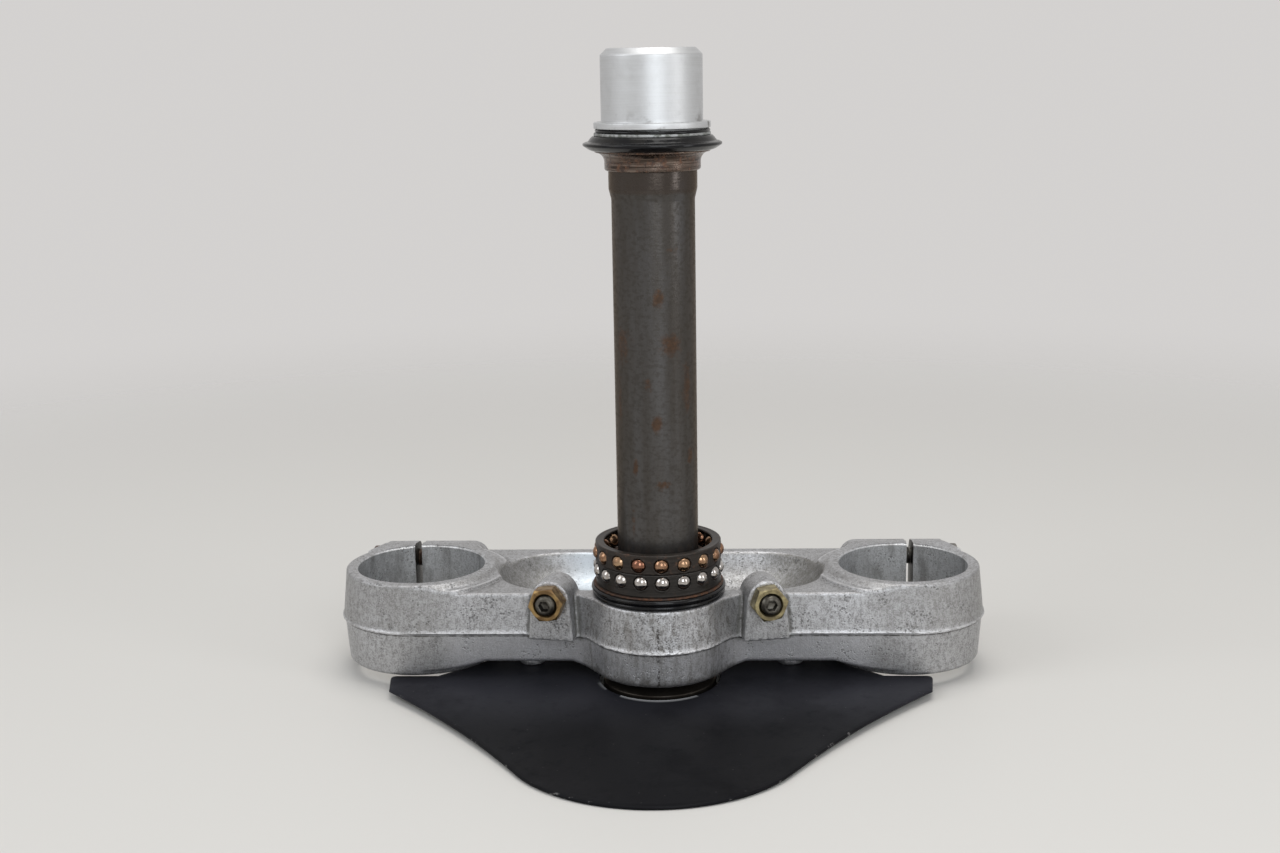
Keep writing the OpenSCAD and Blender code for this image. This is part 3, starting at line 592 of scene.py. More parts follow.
EDGE_STEP, CAVITY_STEP = 1.3, 2.4
at = read(yoke.data.vertices, "co")
x, y, z = np.abs(at[:, 0]), at[:, 1], at[:, 2]
outward = slope_of(casting, at)
outward /= np.maximum(np.linalg.norm(outward, axis=1, keepdims=True), 1e-6)
as_cast = np.abs(casting(*at.T)) < 0.2
walls = as_cast & (np.abs(outward[:, 2]) < 0.8)
from_lugs = np.minimum(stop_lug(x, y, z), pinch_lug(x, y, z))
from_boss = np.hypot(x, y) - BOSS_R
from_ring = np.hypot(x - FORK_X, y - FORK_Y) - RING_R
dished = np.abs(trough(x, y, z)) < 0.5
back = dished * np.clip((y - FORK_Y - 6) / 5, 0, 1)
lying = np.clip((outward[:, 2] - 0.5) / 0.3, 0, 1) * (z < ARM_TOP + 2) * as_cast * ~dished
for name, values in (
        ("edge", np.clip(1 + casting(*(at - EDGE_STEP * outward).T) / EDGE_STEP, 0, 1) * as_cast),
        ("cavity", np.clip(1 - casting(*(at + CAVITY_STEP * outward).T) / CAVITY_STEP, 0, 1) * as_cast),
        ("seam", np.clip(from_lugs / 0.6, 0, 1) * walls),
        ("hub", np.clip((6 - from_boss) / 3, 0, 1) * walls),
        ("ring", np.clip((6 - from_ring) / 3, 0, 1) * walls),
        ("trough", dished * np.clip((x - TROUGH_END + 4) / 16, 0.25, 1)),
        ("wall", back * np.clip((TROUGH_END + 4 - x) / 12, 0, 1)),
        # ridge marks where a painted highlight goes, gutter where a painted shade goes
        ("ridge", lying * np.exp(-((from_ring - 4.7) / 0.55) ** 2)),
        ("gutter", lying * np.exp(-((from_ring - 6.6) / 0.8) ** 2))):
    keep_numbers(yoke, name, values)
centre = read(yoke.data.polygons, "center")
x, y = np.abs(centre[:, 0]), centre[:, 1]
in_bore = np.hypot(x - FORK_X, y - FORK_Y) < FORK_R + 0.55
in_slit = (np.abs(x - SLIT_X) < SLIT_W / 2 + 0.1) & (y > FORK_Y + FORK_R - 3)
keep_numbers(yoke, "machined", in_bore | in_slit, "FACE")
keep_numbers(yoke, "slit", in_slit, "FACE")
print("machined faces:", int((in_bore | in_slit).sum()))

# %% [markdown]
# The stem is a turned steel tube. Its seats are a little thicker, with a taper between seat and tube,
# and a collar with a wide foot under the boss stops it from being pulled through. The wide foot is
# near black, partly grease and partly painted shade under the boss. The lathe helper makes it from its
# half section. Rust has eaten it in spots, so each point gets the strength of the nearest spot. A
# painted picture could hold the spots too, but numbers need no picture file.

# %% The stem
TUBE_R, BORE_R = 16.3, 10.0
SEAT_R, TOP_SEAT_R, SPIGOT_R = 17.5, 17.3, 16
# the wide foot is near black and fills what is shade under the boss
FOOT_R, COLLAR_R = 23.2, 19
STEM_TOP = span("steering_stem")[1][2]
stem = turned_piece("stem_tube", [
    (BORE_R, 0), (FOOT_R, 0), (FOOT_R, 4.8), (COLLAR_R, 8.1), (COLLAR_R, BOSS_FOOT), (SEAT_R, BOSS_FOOT),
    (SEAT_R, 57.5), (TUBE_R, 59.9), (TUBE_R, 201.4), (TOP_SEAT_R, 205.5), (TOP_SEAT_R, 225.7),
    (SPIGOT_R, 225.7), (SPIGOT_R, STEM_TOP), (BORE_R, STEM_TOP)],
    "steering_stem", 0.4, around=176, longest=1.8)
RUST_SPOTS = [  # turn in degrees, height, half width, half height and strength of each rust spot
    (-83, 164.4, 2.0, 3.4, 1.0), (-60, 183, 3.5, 1.5, 0.35), (-141, 146, 4.5, 7.5, 0.55),
    (-66, 146, 4.5, 4.5, 0.75), (-99, 130.5, 2.0, 3.2, 0.5), (-39, 128, 2.4, 11, 0.6),
    (-87, 114.8, 2.0, 3.0, 1.0), (-119, 97.4, 1.2, 3.6, 0.9),
    (-79, 90, 3.6, 1.5, 0.7), (-34, 101, 1.9, 3.6, 0.8), (-124, 74, 1.2, 8, 0.4), (-148, 122, 1.6, 11, 0.5)]
chance = np.random.default_rng(7)
RUST_SPOTS += [(t, h, w, 2 * w, 0.8) for t, h, w in zip(
    chance.uniform(10, 170, 16), chance.uniform(70, 198, 16), chance.uniform(1.2, 4, 16))]


def rust_amount(p):
    """Strength of the nearest rust spot: the largest of strength exp(-(s/width)^2 - (dz/height)^2)."""
    turn = np.arctan2(p[:, 1], p[:, 0])[:, None]
    t, h, w, tall, strength = np.array(RUST_SPOTS).T
    s = np.remainder(turn - np.radians(t) + math.pi, 2 * math.pi) - math.pi
    each = strength * np.exp(-(s * TUBE_R / w) ** 2 - ((p[:, 2:] - h) / tall) ** 2)
    return each.max(1)


keep_numbers(stem, "rust", rust_amount(read(stem.data.vertices, "co")))
print("rust spots:", len(RUST_SPOTS))

# %% [markdown]
# A rubber seal with two round lips lies on the boss and a thin washer lies on the seal. Above them
# is the bearing's inner ring. All three are rings about the stem, so they are turned as well.

# %% Lower seal, washer and bearing cone


def arc(centre, radius, start, end, steps=10):
    """Points of a circular arc from one angle to another, in degrees."""
    a = np.radians(np.linspace(start, end, steps + 1))
    return list(zip(centre[0] + radius * np.cos(a), centre[1] + radius * np.sin(a)))


SEAL_TOP = span("lower_dust_seal")[1][2]
CONE_FOOT = span("lower_seal_washer")[1][2]
boss_seal = turned_piece("boss_seal", [(SEAT_R, BOSS_TOP), (25.4, BOSS_TOP)]
                         + arc((26.0, BOSS_TOP + 1.1), 1.1, -90, 70) + [(26.0, BOSS_TOP + 2.25)]
                         + arc((26.3, BOSS_TOP + 3.3), 1.1, -70, 90) + [(SEAT_R, SEAL_TOP)],
                         "lower_dust_seal", 0.05)
seal_washer = turned_piece("seal_washer", [(SEAT_R, SEAL_TOP), (26.2, SEAL_TOP), (26.5, SEAL_TOP + 0.3),
                                           (26.45, CONE_FOOT), (SEAT_R, CONE_FOOT)], "lower_seal_washer", 0.12)
BALL_CIRCLE, BALL_R, POCKET_R = 23.57, 3.175, 3.295
LOW_BALL_Z = span("lower_balls")[0][2] + BALL_R
HIGH_BALL_Z = span("upper_balls")[0][2] + BALL_R
CONE_R, CONE_TALL = 21.86, 10.8
lower_cone = turned_piece("lower_cone", [(SEAT_R, CONE_FOOT), (CONE_R, CONE_FOOT), (CONE_R, LOW_BALL_Z - 2.8)]
                          + arc((BALL_CIRCLE, LOW_BALL_Z), POCKET_R, 238, 181, 8)
                          + [(20.275, CONE_FOOT + CONE_TALL), (SEAT_R, CONE_FOOT + CONE_TALL)],
                          "lower_bearing_cone", 0.15)

# %% [markdown]
# A ball cage is pressed from sheet steel: a band with a round window for each ball, whose rim is
# bulged outwards to hold the ball, a flange at one edge and a tongue between each two balls. All
# windows are alike, so the field folds the ring into one sector and describes a single window.

# %% Ball cages
CAGE_IN, BAND_R, HALF_SHEET = 21.98, 24.95, 0.45
LOW_ROW = (LOW_BALL_Z, 18, -84.6)  # height, number of balls and turn of the first one in degrees
HIGH_ROW = (HIGH_BALL_Z, 17, -85.4)


def cage_field(foot, top, flange_z, ball_z, count, start):
    """Field of a cage: the rounded union of band, flange, tongues and ball-shaped rims, less the
    balls' room. The band is |r - middle| less half the sheet, and the flange is the same in height."""
    sector = 2 * math.pi / count

    def fold(angle):
        """The angle from the middle of its own sector."""
        return np.remainder(angle + sector / 2, sector) - sector / 2

    def field(x, y, z):
        """The cage's field at a point, from the one window and the one tongue of its sector."""
        r, turn = np.hypot(x, y), np.arctan2(y, x) - math.radians(start)
        ball_turn, gap_turn = fold(turn), fold(turn + sector / 2)
        along, across = r * np.cos(ball_turn) - BALL_CIRCLE, r * np.sin(ball_turn)
        ball = np.sqrt(along ** 2 + across ** 2 + (z - ball_z) ** 2)
        height = np.abs(z - (foot + top) / 2) - (top - foot) / 2
        band = round_cut(np.abs(r - BAND_R) - HALF_SHEET, height, 0.25)
        breadth = np.maximum(CAGE_IN - r, r - 25.2)
        flange = round_cut(np.abs(z - flange_z - HALF_SHEET) - HALF_SHEET, breadth, 0.25)
        low, high = sorted((flange_z, ball_z))
        tongue = np.maximum.reduce([np.abs(r * np.sin(gap_turn)) - 0.55, CAGE_IN - r, r - 24.9,
                                    low - z, z - high - HALF_SHEET])
        rim = round_cut(ball - POCKET_R - 0.5, r - 25.5, 0.15)
        rim = np.maximum(rim, 24.2 - r)
        shell = round_union(round_union(band, flange, 0.5), np.minimum(tongue, rim), 0.35)
        return round_cut(shell, POCKET_R - ball, 0.12)

    return field


def cage(name, node, flange_z, ball_z, count, start):
    """A cage of even fineness whose points lie on its field."""
    foot, top = span(node)[0][2], span(node)[1][2]
    fine = 0.4
    points, faces = skin(cage_field(foot, top, flange_z, ball_z, count, start),
                         (-26.5, -26.5, foot - 1), (26.5, 26.5, top + 1), fine, 1)
    piece = mesh_piece(name, points, faces)
    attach(piece, "root")
    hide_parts(node)
    print(name, "has", len(faces), "faces")
    return piece


lower_cage = cage("lower_cage", "lower_ball_cage", CONE_FOOT, *LOW_ROW)
upper_cage = cage("upper_cage", "upper_ball_cage", span("upper_ball_cage")[1][2] - 2 * HALF_SHEET, *HIGH_ROW)

# %% [markdown]
# The balls of a row make one piece, because they are one group in the bearing. One ball's points are
# worked out and added to all the centres at once. Each ball keeps its own shade, since in the upper
# row some balls are copper red with rust and others still golden.

# %% Balls


def ball_row(name, node, height, count, start, shades, rows=20, around=36):
    """Balls at (R cos t, R sin t): each is a stack of rings with one point at either pole."""
    lat = np.linspace(-math.pi / 2, math.pi / 2, rows + 1)[1:-1, None]
    lon = np.linspace(0, 2 * math.pi, around, endpoint=False)
    rings = np.stack([np.cos(lat) * np.cos(lon), np.cos(lat) * np.sin(lon), np.sin(lat) + 0 * lon], -1)
    rings = rings.reshape(-1, 3)
    ball = np.concatenate([rings, [[0, 0, -1], [0, 0, 1]]]) * BALL_R
    k = np.arange(around)
    after = (k + 1) % around
    last = (rows - 2) * around
    sides = grid_faces(rows - 1, around, close_columns=True)[:, ::-1]
    caps = np.concatenate([np.stack([after, k, 0 * k + len(rings)], -1),
                           np.stack([last + k, last + after, 0 * k + len(rings) + 1], -1)])
    t = math.radians(start) + 2 * math.pi * np.arange(count) / count
    centres = np.stack([BALL_CIRCLE * np.cos(t), BALL_CIRCLE * np.sin(t), height + 0 * t], -1)
    points = (centres[:, None] + ball).reshape(-1, 3)
    offset = np.arange(count)[:, None, None] * len(ball)
    piece = mesh_piece(name, points, (offset + sides).reshape(-1, 4), (offset + caps).reshape(-1, 3))
    keep_numbers(piece, "shade", np.repeat(np.resize(shades, count), len(ball)))
    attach(piece, "root")
    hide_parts(node)
    print(name, "has", count, "balls")
    return piece


lower_row = ball_row("lower_ball_row", "lower_balls", *LOW_ROW, [0.5, 0.3, 0.7, 0.4, 0.9, 0.6])
upper_row = ball_row("upper_ball_row", "upper_balls", *HIGH_ROW,
                     [0.55, 0.75, 0.85, 0.6, 0.4, 0.7, 0.3, 0.8, 0.5, 0.6, 0.2, 0.9, 0.35, 0.5, 0.6, 0.95, 0.1])

# %% [markdown]
# At the top of the stem are the upper bearing's inner ring, which flares to the track of its balls, a
# rubber seal with a thin edge, and the nut that sets the bearings' play. The nut has a groove with a
# soft ring that has crept out of it on one side, so that ring is drawn a little off centre. A plain
# torus could stand for it, but its true shape is as easy to write as a grid.

# %% Upper cone, seal and nut
CONE_Z, CONE_TOP = span("upper_bearing_cone")[0][2], span("upper_bearing_cone")[1][2]
NUT_Z, NUT_TOP = span("adjuster_nut")[0][2], span("adjuster_nut")[1][2]
NUT_R, GROOVE_R, NUT_NECK_R, NUT_BORE_R = 22.6, 21.0, 19.68, 13.5
FLARE_R, FLARE_X, FLARE_RISE = 3.8, 22.5, 3.2
upper_cone = turned_piece("upper_cone", [
    (TOP_SEAT_R, CONE_Z), (18.3, CONE_Z), (18.7, CONE_Z + 0.6), (18.7, CONE_Z + FLARE_RISE)]
    + arc((FLARE_X, CONE_Z + FLARE_RISE), FLARE_R, 178, 92, 12)
    + [(FLARE_X, CONE_TOP), (TOP_SEAT_R, CONE_TOP)], "upper_bearing_cone", 0.25, around=192)
upper_seal = turned_piece("upper_seal", [
    (TOP_SEAT_R, CONE_TOP), (23.6, CONE_TOP), (24.8, CONE_TOP + 0.5), (26.3, CONE_TOP + 1.5),
    (27.0, CONE_TOP + 2.0), (27.0, CONE_TOP + 2.8), (26.2, CONE_TOP + 3.2), (25.0, CONE_TOP + 3.5),
    (24.5, CONE_TOP + 4.1), (23.9, CONE_TOP + 4.9), (23.2, NUT_Z), (TOP_SEAT_R, NUT_Z)],
    "upper_dust_seal", 0.5, around=192)
top_nut = turned_piece("top_nut", [
    (SPIGOT_R, NUT_Z), (NUT_R, NUT_Z), (NUT_R, NUT_Z + 1.2), (GROOVE_R, NUT_Z + 1.2), (GROOVE_R, NUT_Z + 2.8),
    (NUT_R, NUT_Z + 2.8), (NUT_R, NUT_Z + 5.2), (NUT_NECK_R, NUT_Z + 5.2), (NUT_NECK_R, NUT_TOP - 2.6),
    (17.08, NUT_TOP), (NUT_BORE_R, NUT_TOP), (NUT_BORE_R, NUT_TOP - 4), (SPIGOT_R, NUT_TOP - 4)],
    "adjuster_nut", 0.35, around=208, longest=1.5)


def crept_ring(name, node, around=176, section=14):
    """A ring of oval section at radius 21.45 mm. Where it has crept out it is up to 0.55 mm wider and
    0.45 mm lower, by the cosine of the angle from its loosest place."""
    turn = np.linspace(0, 2 * math.pi, around, endpoint=False)[:, None]
    s = np.linspace(0, 2 * math.pi, section, endpoint=False)
    loose = np.clip(np.cos(turn + 1.0), 0, 1)
    r = 21.45 + 0.55 * loose + 0.72 * np.cos(s)
    z = NUT_Z + 2.05 - 0.45 * loose + 0.70 * np.sin(s)
    points = np.stack([r * np.cos(turn), r * np.sin(turn), z], -1)
    ring = mesh_piece(name, points.reshape(-1, 3), grid_faces(around, section, True, True))
    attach(ring, "root")
    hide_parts(node)
    return ring


seal_ring = crept_ring("nut_seal_ring", "nut_o_ring")
print("nut from", NUT_Z, "to", NUT_TOP)

# %% [markdown]
# Screws and nuts are turned shapes too, but some of their rings aren't round: a thread's crest
# climbs as it goes round, and a socket is six-sided. So each ring of the mesh may have its own radius
# for every angle. The finished shape is then moved to its axis on the casting.

# %% Shapes about an axis
PITCH, THREAD_R, THREAD_DEEP = 1.25, 4.0, 0.55


def hexagon(flats, a, turn=0.0):
    """Radius of a hexagon with a corner at angle turn: half the flats over the cosine of the angle from
    the middle of the nearest flat."""
    off = np.remainder(a - turn, math.pi / 3) - math.pi / 6
    return flats / 2 / np.cos(off)


def around_axis(rows, angles, closed=False):
    """Points and faces of rings of (radius, height), from the lower end outwards and up to the upper
    end. A closed shape's last ring joins its first, and an open one gets a point at each end."""
    r = np.stack([np.broadcast_to(row[0], angles.shape) for row in rows])
    h = np.stack([np.broadcast_to(row[1], angles.shape) for row in rows])
    points = np.stack([r * np.cos(angles), r * np.sin(angles), h], -1).reshape(-1, 3)
    sides = grid_faces(len(rows), len(angles), closed, True)[:, ::-1]
    if closed:
        return points, [sides]
    k = np.arange(len(angles))
    after, last, end = (k + 1) % len(k), (len(rows) - 1) * len(k), len(points)
    caps = np.concatenate([np.stack([0 * k + end, after, k], -1),
                           np.stack([0 * k + end + 1, last + k, last + after], -1)])
    points = np.concatenate([points, [[0, 0, h[0].mean()], [0, 0, h[-1].mean()]]])
    return points, [sides, caps]


def thread_rows(low, high, angles, limit, step=0.2):
    """Rings whose radius dips by the thread's depth between crests, where the crest's height is the
    pitch times the turns. The limit gives the largest radius at each height."""
    rows = []
    for h in np.arange(low, high, step):
        phase = np.remainder(h / PITCH - angles / (2 * math.pi), 1)
        dip = THREAD_DEEP * np.clip(1.25 * np.abs(2 * phase - 1) - 0.1, 0, 1)
        rows.append((np.minimum(THREAD_R - dip, limit(h)), h))
    return rows


def put_at(name, points, groups, origin, across, axis, node, smooth_angle=35):
    """Moves a shape so that its own Z runs along an axis from an origin, and lets it stand for a node."""
    across, axis = np.array(across, float), np.array(axis, float)
    points = np.array(origin) + points @ np.stack([across, np.cross(axis, across), axis])
    piece = mesh_piece(name, points, *groups, smooth_angle=smooth_angle)
    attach(piece, "root")
    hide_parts(node)
    return piece


# %% Screws and nuts


def stop_axis(side):
    """Origin, sideways direction and outward direction of a stop screw at its lug's face."""
    t = side * LUG_TURN
    return (side * LUG_X, LUG_Y, LUG_Z), (math.cos(t), math.sin(t), 0), (math.sin(t), -math.cos(t), 0)


def lock_nut(side, name):
    """Hexagon with both ends bevelled at 30 degrees and a countersunk bore."""
    start = math.radians(8)
    angles = np.linspace(0, 2 * math.pi, 96, endpoint=False) + start
    edge = hexagon(13, angles, start) - 0.05
    bevel = (edge - 6.42) * math.tan(math.radians(30))
    rows = [(4.0, 0.6), (4.5, 0.0), (6.36, 0.0), (edge - 0.07, bevel), (edge, bevel + 0.12),
            (edge, 6.38 - bevel), (edge - 0.07, 6.5 - bevel), (6.36, 6.5), (5.0, 6.5), (4.05, 5.3)]
    points, groups = around_axis(rows, angles, closed=True)
    nut = put_at(name + "_locknut", points, groups, *stop_axis(side), name + "_lock_nut", 18)
    # marks the countersunk bore, where painted shade darkens the gap round the screw
    keep_numbers(nut, "gap", np.hypot(points[:, 0], points[:, 1]) < 4.9)
    return nut


def stop_screw(side, name):
    """Threaded grub screw with a bevel at both ends and a hexagon socket."""
    angles = np.linspace(0, 2 * math.pi, 72, endpoint=False)
    low, high = -17.5, 8.1

    def limit(h):
        """Largest radius at a height: a bevel of 45 degrees at both ends."""
        return min(2 + (h - low), 3.1 + (high - h), THREAD_R)

    key = hexagon(4, angles)
    rows = [(1.9, low)] + thread_rows(low + 0.02, high - 0.02, angles, limit)
    rows += [(3.0, high), (key * 1.1, high), (key, high - 0.25), (key, high - 3.6), (0.8, high - 4)]
    points, groups = around_axis(rows, angles)
    return put_at(name + "_grub_screw", points, groups, *stop_axis(side), name + "_stop_screw")


def pinch_bolt(side, place, height, name):
    """Cap screw along X: knurled head with a hexagon socket, plain shank and threaded end."""
    angles = np.linspace(0, 2 * math.pi, 108, endpoint=False)
    key = hexagon(5, angles)
    end, head = -35, 5.3
    knurled = head - 0.14 * np.abs(np.sin(angles * 13.5))

    def limit(h):
        """Largest radius at a height: a bevel of 45 degrees at the end."""
        return min(3.0 + (h - end), THREAD_R)

    rows = [(2.9, end)] + thread_rows(end + 0.02, -13, angles, limit, 0.25)
    rows += [(3.95, -12.8), (3.95, -0.4), (4.1, 0), (6.2, 0), (6.2, 1.2), (head, 1.4), (knurled, 1.7),
             (knurled, 5.6), (5.1, 6.1), (4.7, 6.4), (4.3, 6.5), (key * 1.05, 6.5), (key, 6.2), (key, 3.4), (1.0, 3.0)]
    points, groups = around_axis(rows, angles)
    origin = (side * (SLIT_X + 15.5), FORK_Y + BOLT_Y, height)
    return put_at(name + "_" + place + "_cap_screw", points, groups, origin, (0, 1, 0), (side, 0, 0),
                  name + "_" + place + "_pinch_bolt")


lock_nuts, stop_screws, pinch_bolts = {}, {}, {}
for side, name in ((-1, "left"), (1, "right")):
    lock_nuts[name] = lock_nut(side, name)
    stop_screws[name] = stop_screw(side, name)
    for place, rise in (("upper", BOLT_HIGH), ("lower", BOLT_LOW)):
        pinch_bolts[name, place] = pinch_bolt(side, place, RING_FOOT + rise, name)
print("screws and nuts:", len(lock_nuts) + len(stop_screws) + len(pinch_bolts))

# %% [markdown]
# The splash plate is a sheet with a round tip, hollow flanks, two wings and a tongue under the arms.
# Its surface is ruled between the round hole and the outline, and the rim is rolled over by half the
# sheet's thickness. It slopes down to the tip, where it rests on the table. Such a sheet could be cut
# from a flat face and thickened by a modifier, but the ruled grid also tells the material where the
# rim is, and where the front of the hole's lip gets a painted highlight.

# %% The splash plate
PLATE_T, PLATE_REACH, PLATE_RISE, HOLE_R = 1.4, 118.0, 3.3, 25.0
TIP_R, FLANK_R = 59.5, 450.0
WING_CORNER = (110.4, -14.0)
TILT_OF_PLATE = math.asin(PLATE_RISE / PLATE_REACH)


def evenly(corners, spacing):
    """Points along a polyline at even spacing on each side, its corners kept."""
    corners = np.asarray(corners, float)
    sides = []
    for a, b in zip(corners[:-1], corners[1:]):
        count = max(1, round(np.hypot(*(b - a)) / spacing))
        sides.append(a + (b - a) * (np.arange(count) / count)[:, None])
    return np.concatenate(sides + [corners[-1:]])


def plate_outline():
    """Outline from the tip round the right side to the back and down the left side: an arc of 59.5 mm
    about the tip, a hollow arc of 450 mm that touches it and ends at the wing's corner (the law of
    cosines gives where they touch), then the wing and the tongue."""
    tip_y = TIP_R - PLATE_REACH
    corner = np.array(WING_CORNER)
    gap = corner - (0, tip_y)
    reach = TIP_R + FLANK_R
    distance = np.hypot(*gap)
    lean = math.atan2(gap[1], gap[0])
    turn = math.acos((distance ** 2 + reach ** 2 - FLANK_R ** 2) / (2 * distance * reach))
    touch = lean - turn
    hollow = np.array([reach * math.cos(touch), tip_y + reach * math.sin(touch)])
    first = touch + math.pi
    last = math.atan2(corner[1] - hollow[1], corner[0] - hollow[0]) % (2 * math.pi)
    tip = arc((0, tip_y), TIP_R, -90, math.degrees(touch), 60)
    flank = arc(hollow, FLANK_R, math.degrees(first), math.degrees(last), 40)
    wing = arc((109.5, -1.5), 2.5, 0, 90, 6)
    rest = evenly([WING_CORNER, (112, -1.5)], 2)[1:-1].tolist() + wing
    rest += evenly([(109.5, 1), (92.5, 1), (70, 22), (70, 33), (59, 44), (0, 44)], 2)[1:].tolist()
    half = np.array(tip + flank[1:] + rest)
    return np.concatenate([half, (half[1:-1] * (-1, 1))[::-1]])


def on_plate(x, y, z):
    """Leans a place on the flat sheet about X, so that the sheet's tip comes down to the table."""
    c, s = math.cos(TILT_OF_PLATE), math.sin(TILT_OF_PLATE)
    return x, y * c - z * s, PLATE_RISE + y * s + z * c


def splash_plate():
    """Rings from the hole's upper edge to the rim, round it, and back under the sheet to the hole. A
    ring at share t is hole (1 - t) + outline t, and a wave of 0.12 mm swells the sheet's front."""
    outline = plate_outline()
    ahead = np.roll(outline, -1, 0) - np.roll(outline, 1, 0)
    inward = np.stack([-ahead[:, 1], ahead[:, 0]], -1) / np.hypot(*ahead.T)[:, None]
    angle = np.unwrap(np.arctan2(outline[:, 1], outline[:, 0]))
    along = np.cumsum(np.hypot(*(outline - np.roll(outline, 1, 0)).T))
    even = angle[0] + 2 * math.pi * (along - along[0]) / along[-1]
    hole_angle = 0.85 * angle + 0.15 * even
    hole = HOLE_R * np.stack([np.cos(hole_angle), np.sin(hole_angle)], -1)
    edge = 0.6
    rings = []
    shares = np.linspace(0, 1, 42)
    for t in shares:
        rings.append((hole * (1 - t) + (outline + edge * inward) * t, PLATE_T, t))
    for k in range(1, 6):
        roll = math.radians(90 - 36 * k)
        rings.append((outline + edge * (1 - math.cos(roll)) * inward, PLATE_T / 2 * (1 + math.sin(roll)), 1.0))
    for t in shares[::-1]:
        rings.append((hole * (1 - t) + (outline + edge * inward) * t, 0.0, t))
    plans, levels, share = zip(*rings)
    x, y = np.stack(plans).transpose(2, 0, 1)
    z, share = (np.array(values)[:, None] + 0 * x for values in (levels, share))
    wave = 0.12 * np.sin(x / 19 + 0.7) * np.sin(y / 23) * share
    wave = np.where(np.abs(y) < 100, wave, 0) * np.clip((np.hypot(x, y) - 30) / 20, 0, 1)
    z = z + wave * np.clip((100 - np.abs(x)) / 20, 0, 1) * (y < -20)
    points = np.stack(on_plate(x, y, z), -1)
    faces = grid_faces(*z.shape, close_rows=True, close_columns=True)
    piece = mesh_piece("plate_sheet", points.reshape(-1, 3), faces, smooth_angle=40)
    keep_numbers(piece, "rim", np.clip(1 - (1 - share) * 30, 0, 1).ravel())
    # painted highlight: the hole's front lip and a sliver on its left side
    highlit_side = (y < -20) + 0.5 * (x < -21) * (y < -6)
    keep_numbers(piece, "lip", (np.clip(1 - share * 45, 0, 1) * highlit_side).ravel())
    return piece


plate = splash_plate()
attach(plate, "root")
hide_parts("splash_plate")
print("plate has", len(plate.data.polygons), "faces")


def plate_screw(side, name):
    """Low round-headed screw with a hexagon socket, driven up into the casting's pillar."""
    angles = np.linspace(0, 2 * math.pi, 72, endpoint=False)
    key = hexagon(3, angles)
    rows = [(1.8, -14), (2.9, -13), (3.0, -0.2), (3.2, 0), (4.9, 0), (5.2, 0.3), (5.25, 1.0), (4.9, 1.6),
            (4.0, 2.05), (3.0, 2.2), (key * 1.1, 2.2), (key, 2.0), (key, 1.2), (0.5, 1.1)]
    points, groups = around_axis(rows, angles)
    down = (0, math.sin(TILT_OF_PLATE), -math.cos(TILT_OF_PLATE))
    return put_at(name + "_low_screw", points, groups, on_plate(side * PILLAR_X, PILLAR_Y, 0), (1, 0, 0), down,
                  name + "_plate_screw")


plate_screws = {name: plate_screw(side, name) for side, name in ((-1, "left"), (1, "right"))}
print("plate screws:", len(plate_screws))

# %% [markdown]
# Most finishes are layers of thin colour over one another, each laid on by a mask. The helpers below
# give the masks and the layers. Masks come from cloudy noise, from a place's height or side, and from
# the numbers kept on the mesh, so no picture is needed and nothing stretches or repeats.

# %% Masks and layers


def sums(tree, a, b, operation="MULTIPLY"):
    """One Math node on two values or outputs."""
    return put(tree, "Math", {0: a, 1: b}, operation=operation).outputs[0]


def ramp(tree, value, low, high, to_low=0.0, to_high=1.0):
    """A soft step between two levels of a value: 3t^2 - 2t^3 of its share t of the way."""
    return put(tree, "MapRange", {"Value": value, "From Min": low, "From Max": high, "To Min": to_low,
                                  "To Max": to_high}, interpolation_type="SMOOTHSTEP").outputs[0]


def noise(tree, vector, scale, detail, roughness=0.5):
    """A cloudy pattern between 0 and 1."""
    return put(tree, "TexNoise", {"Vector": vector, "Scale": scale, "Detail": detail,
                                  "Roughness": roughness}).outputs[0]


def scaled(tree, vector, factors):
    """A place whose three numbers are multiplied, which stretches a pattern along an axis."""
    return put(tree, "VectorMath", {0: vector, 1: factors}, operation="MULTIPLY").outputs[0]


def split(tree, vector):
    """The three numbers of a place or direction."""
    return put(tree, "SeparateXYZ", {0: vector}).outputs


def tint(tree, share, a, b):
    """A mix of two colours by a share."""
    mixed = put(tree, "Mix", data_type="RGBA")
    for socket, value in zip((mixed.inputs["Factor"], mixed.inputs[6], mixed.inputs[7]), (share, a, b)):
        if isinstance(value, bpy.types.NodeSocket):
            tree.links.new(value, socket)
        else:
            socket.default_value = (*value, 1)
    return mixed.outputs[2]


def layered(tree, colour, *layers):
    """Lays colours over a first one, each by its own share."""
    for share, over in layers:
        colour = tint(tree, share, colour, over)
    return colour


# %% [markdown]
# Effects that several materials share are node groups: blotches, the grain of a casting, rust, the
# marks of a lathe and dust. A group is made once and gives only colours and masks, so that each
# material decides what it does with them.

# %% Shared effects


def new_group(name, inputs, outputs):
    """An empty node group, the outputs of its first node, and its last node."""
    tree = bpy.data.node_groups.new(name, "ShaderNodeTree")
    for label, kind, value in inputs:
        socket = tree.interface.new_socket(label, in_out="INPUT", socket_type="NodeSocket" + kind)
        if value is not None:
            socket.default_value = value
    for label, kind in outputs:
        tree.interface.new_socket(label, in_out="OUTPUT", socket_type="NodeSocket" + kind)
    return tree, tree.nodes.new("NodeGroupInput").outputs, tree.nodes.new("NodeGroupOutput")


blotches, enter, leave = new_group("blotches", [
    ("Vector", "Vector", None), ("Scale", "Float", 50.0), ("Detail", "Float", 4.0), ("Low", "Float", 0.45),
    ("High", "Float", 0.6)], [("Mask", "Float")])
cloud = noise(blotches, enter["Vector"], enter["Scale"], enter["Detail"], 0.62)
feed(blotches, leave, {"Mask": ramp(blotches, cloud, enter["Low"], enter["High"])})

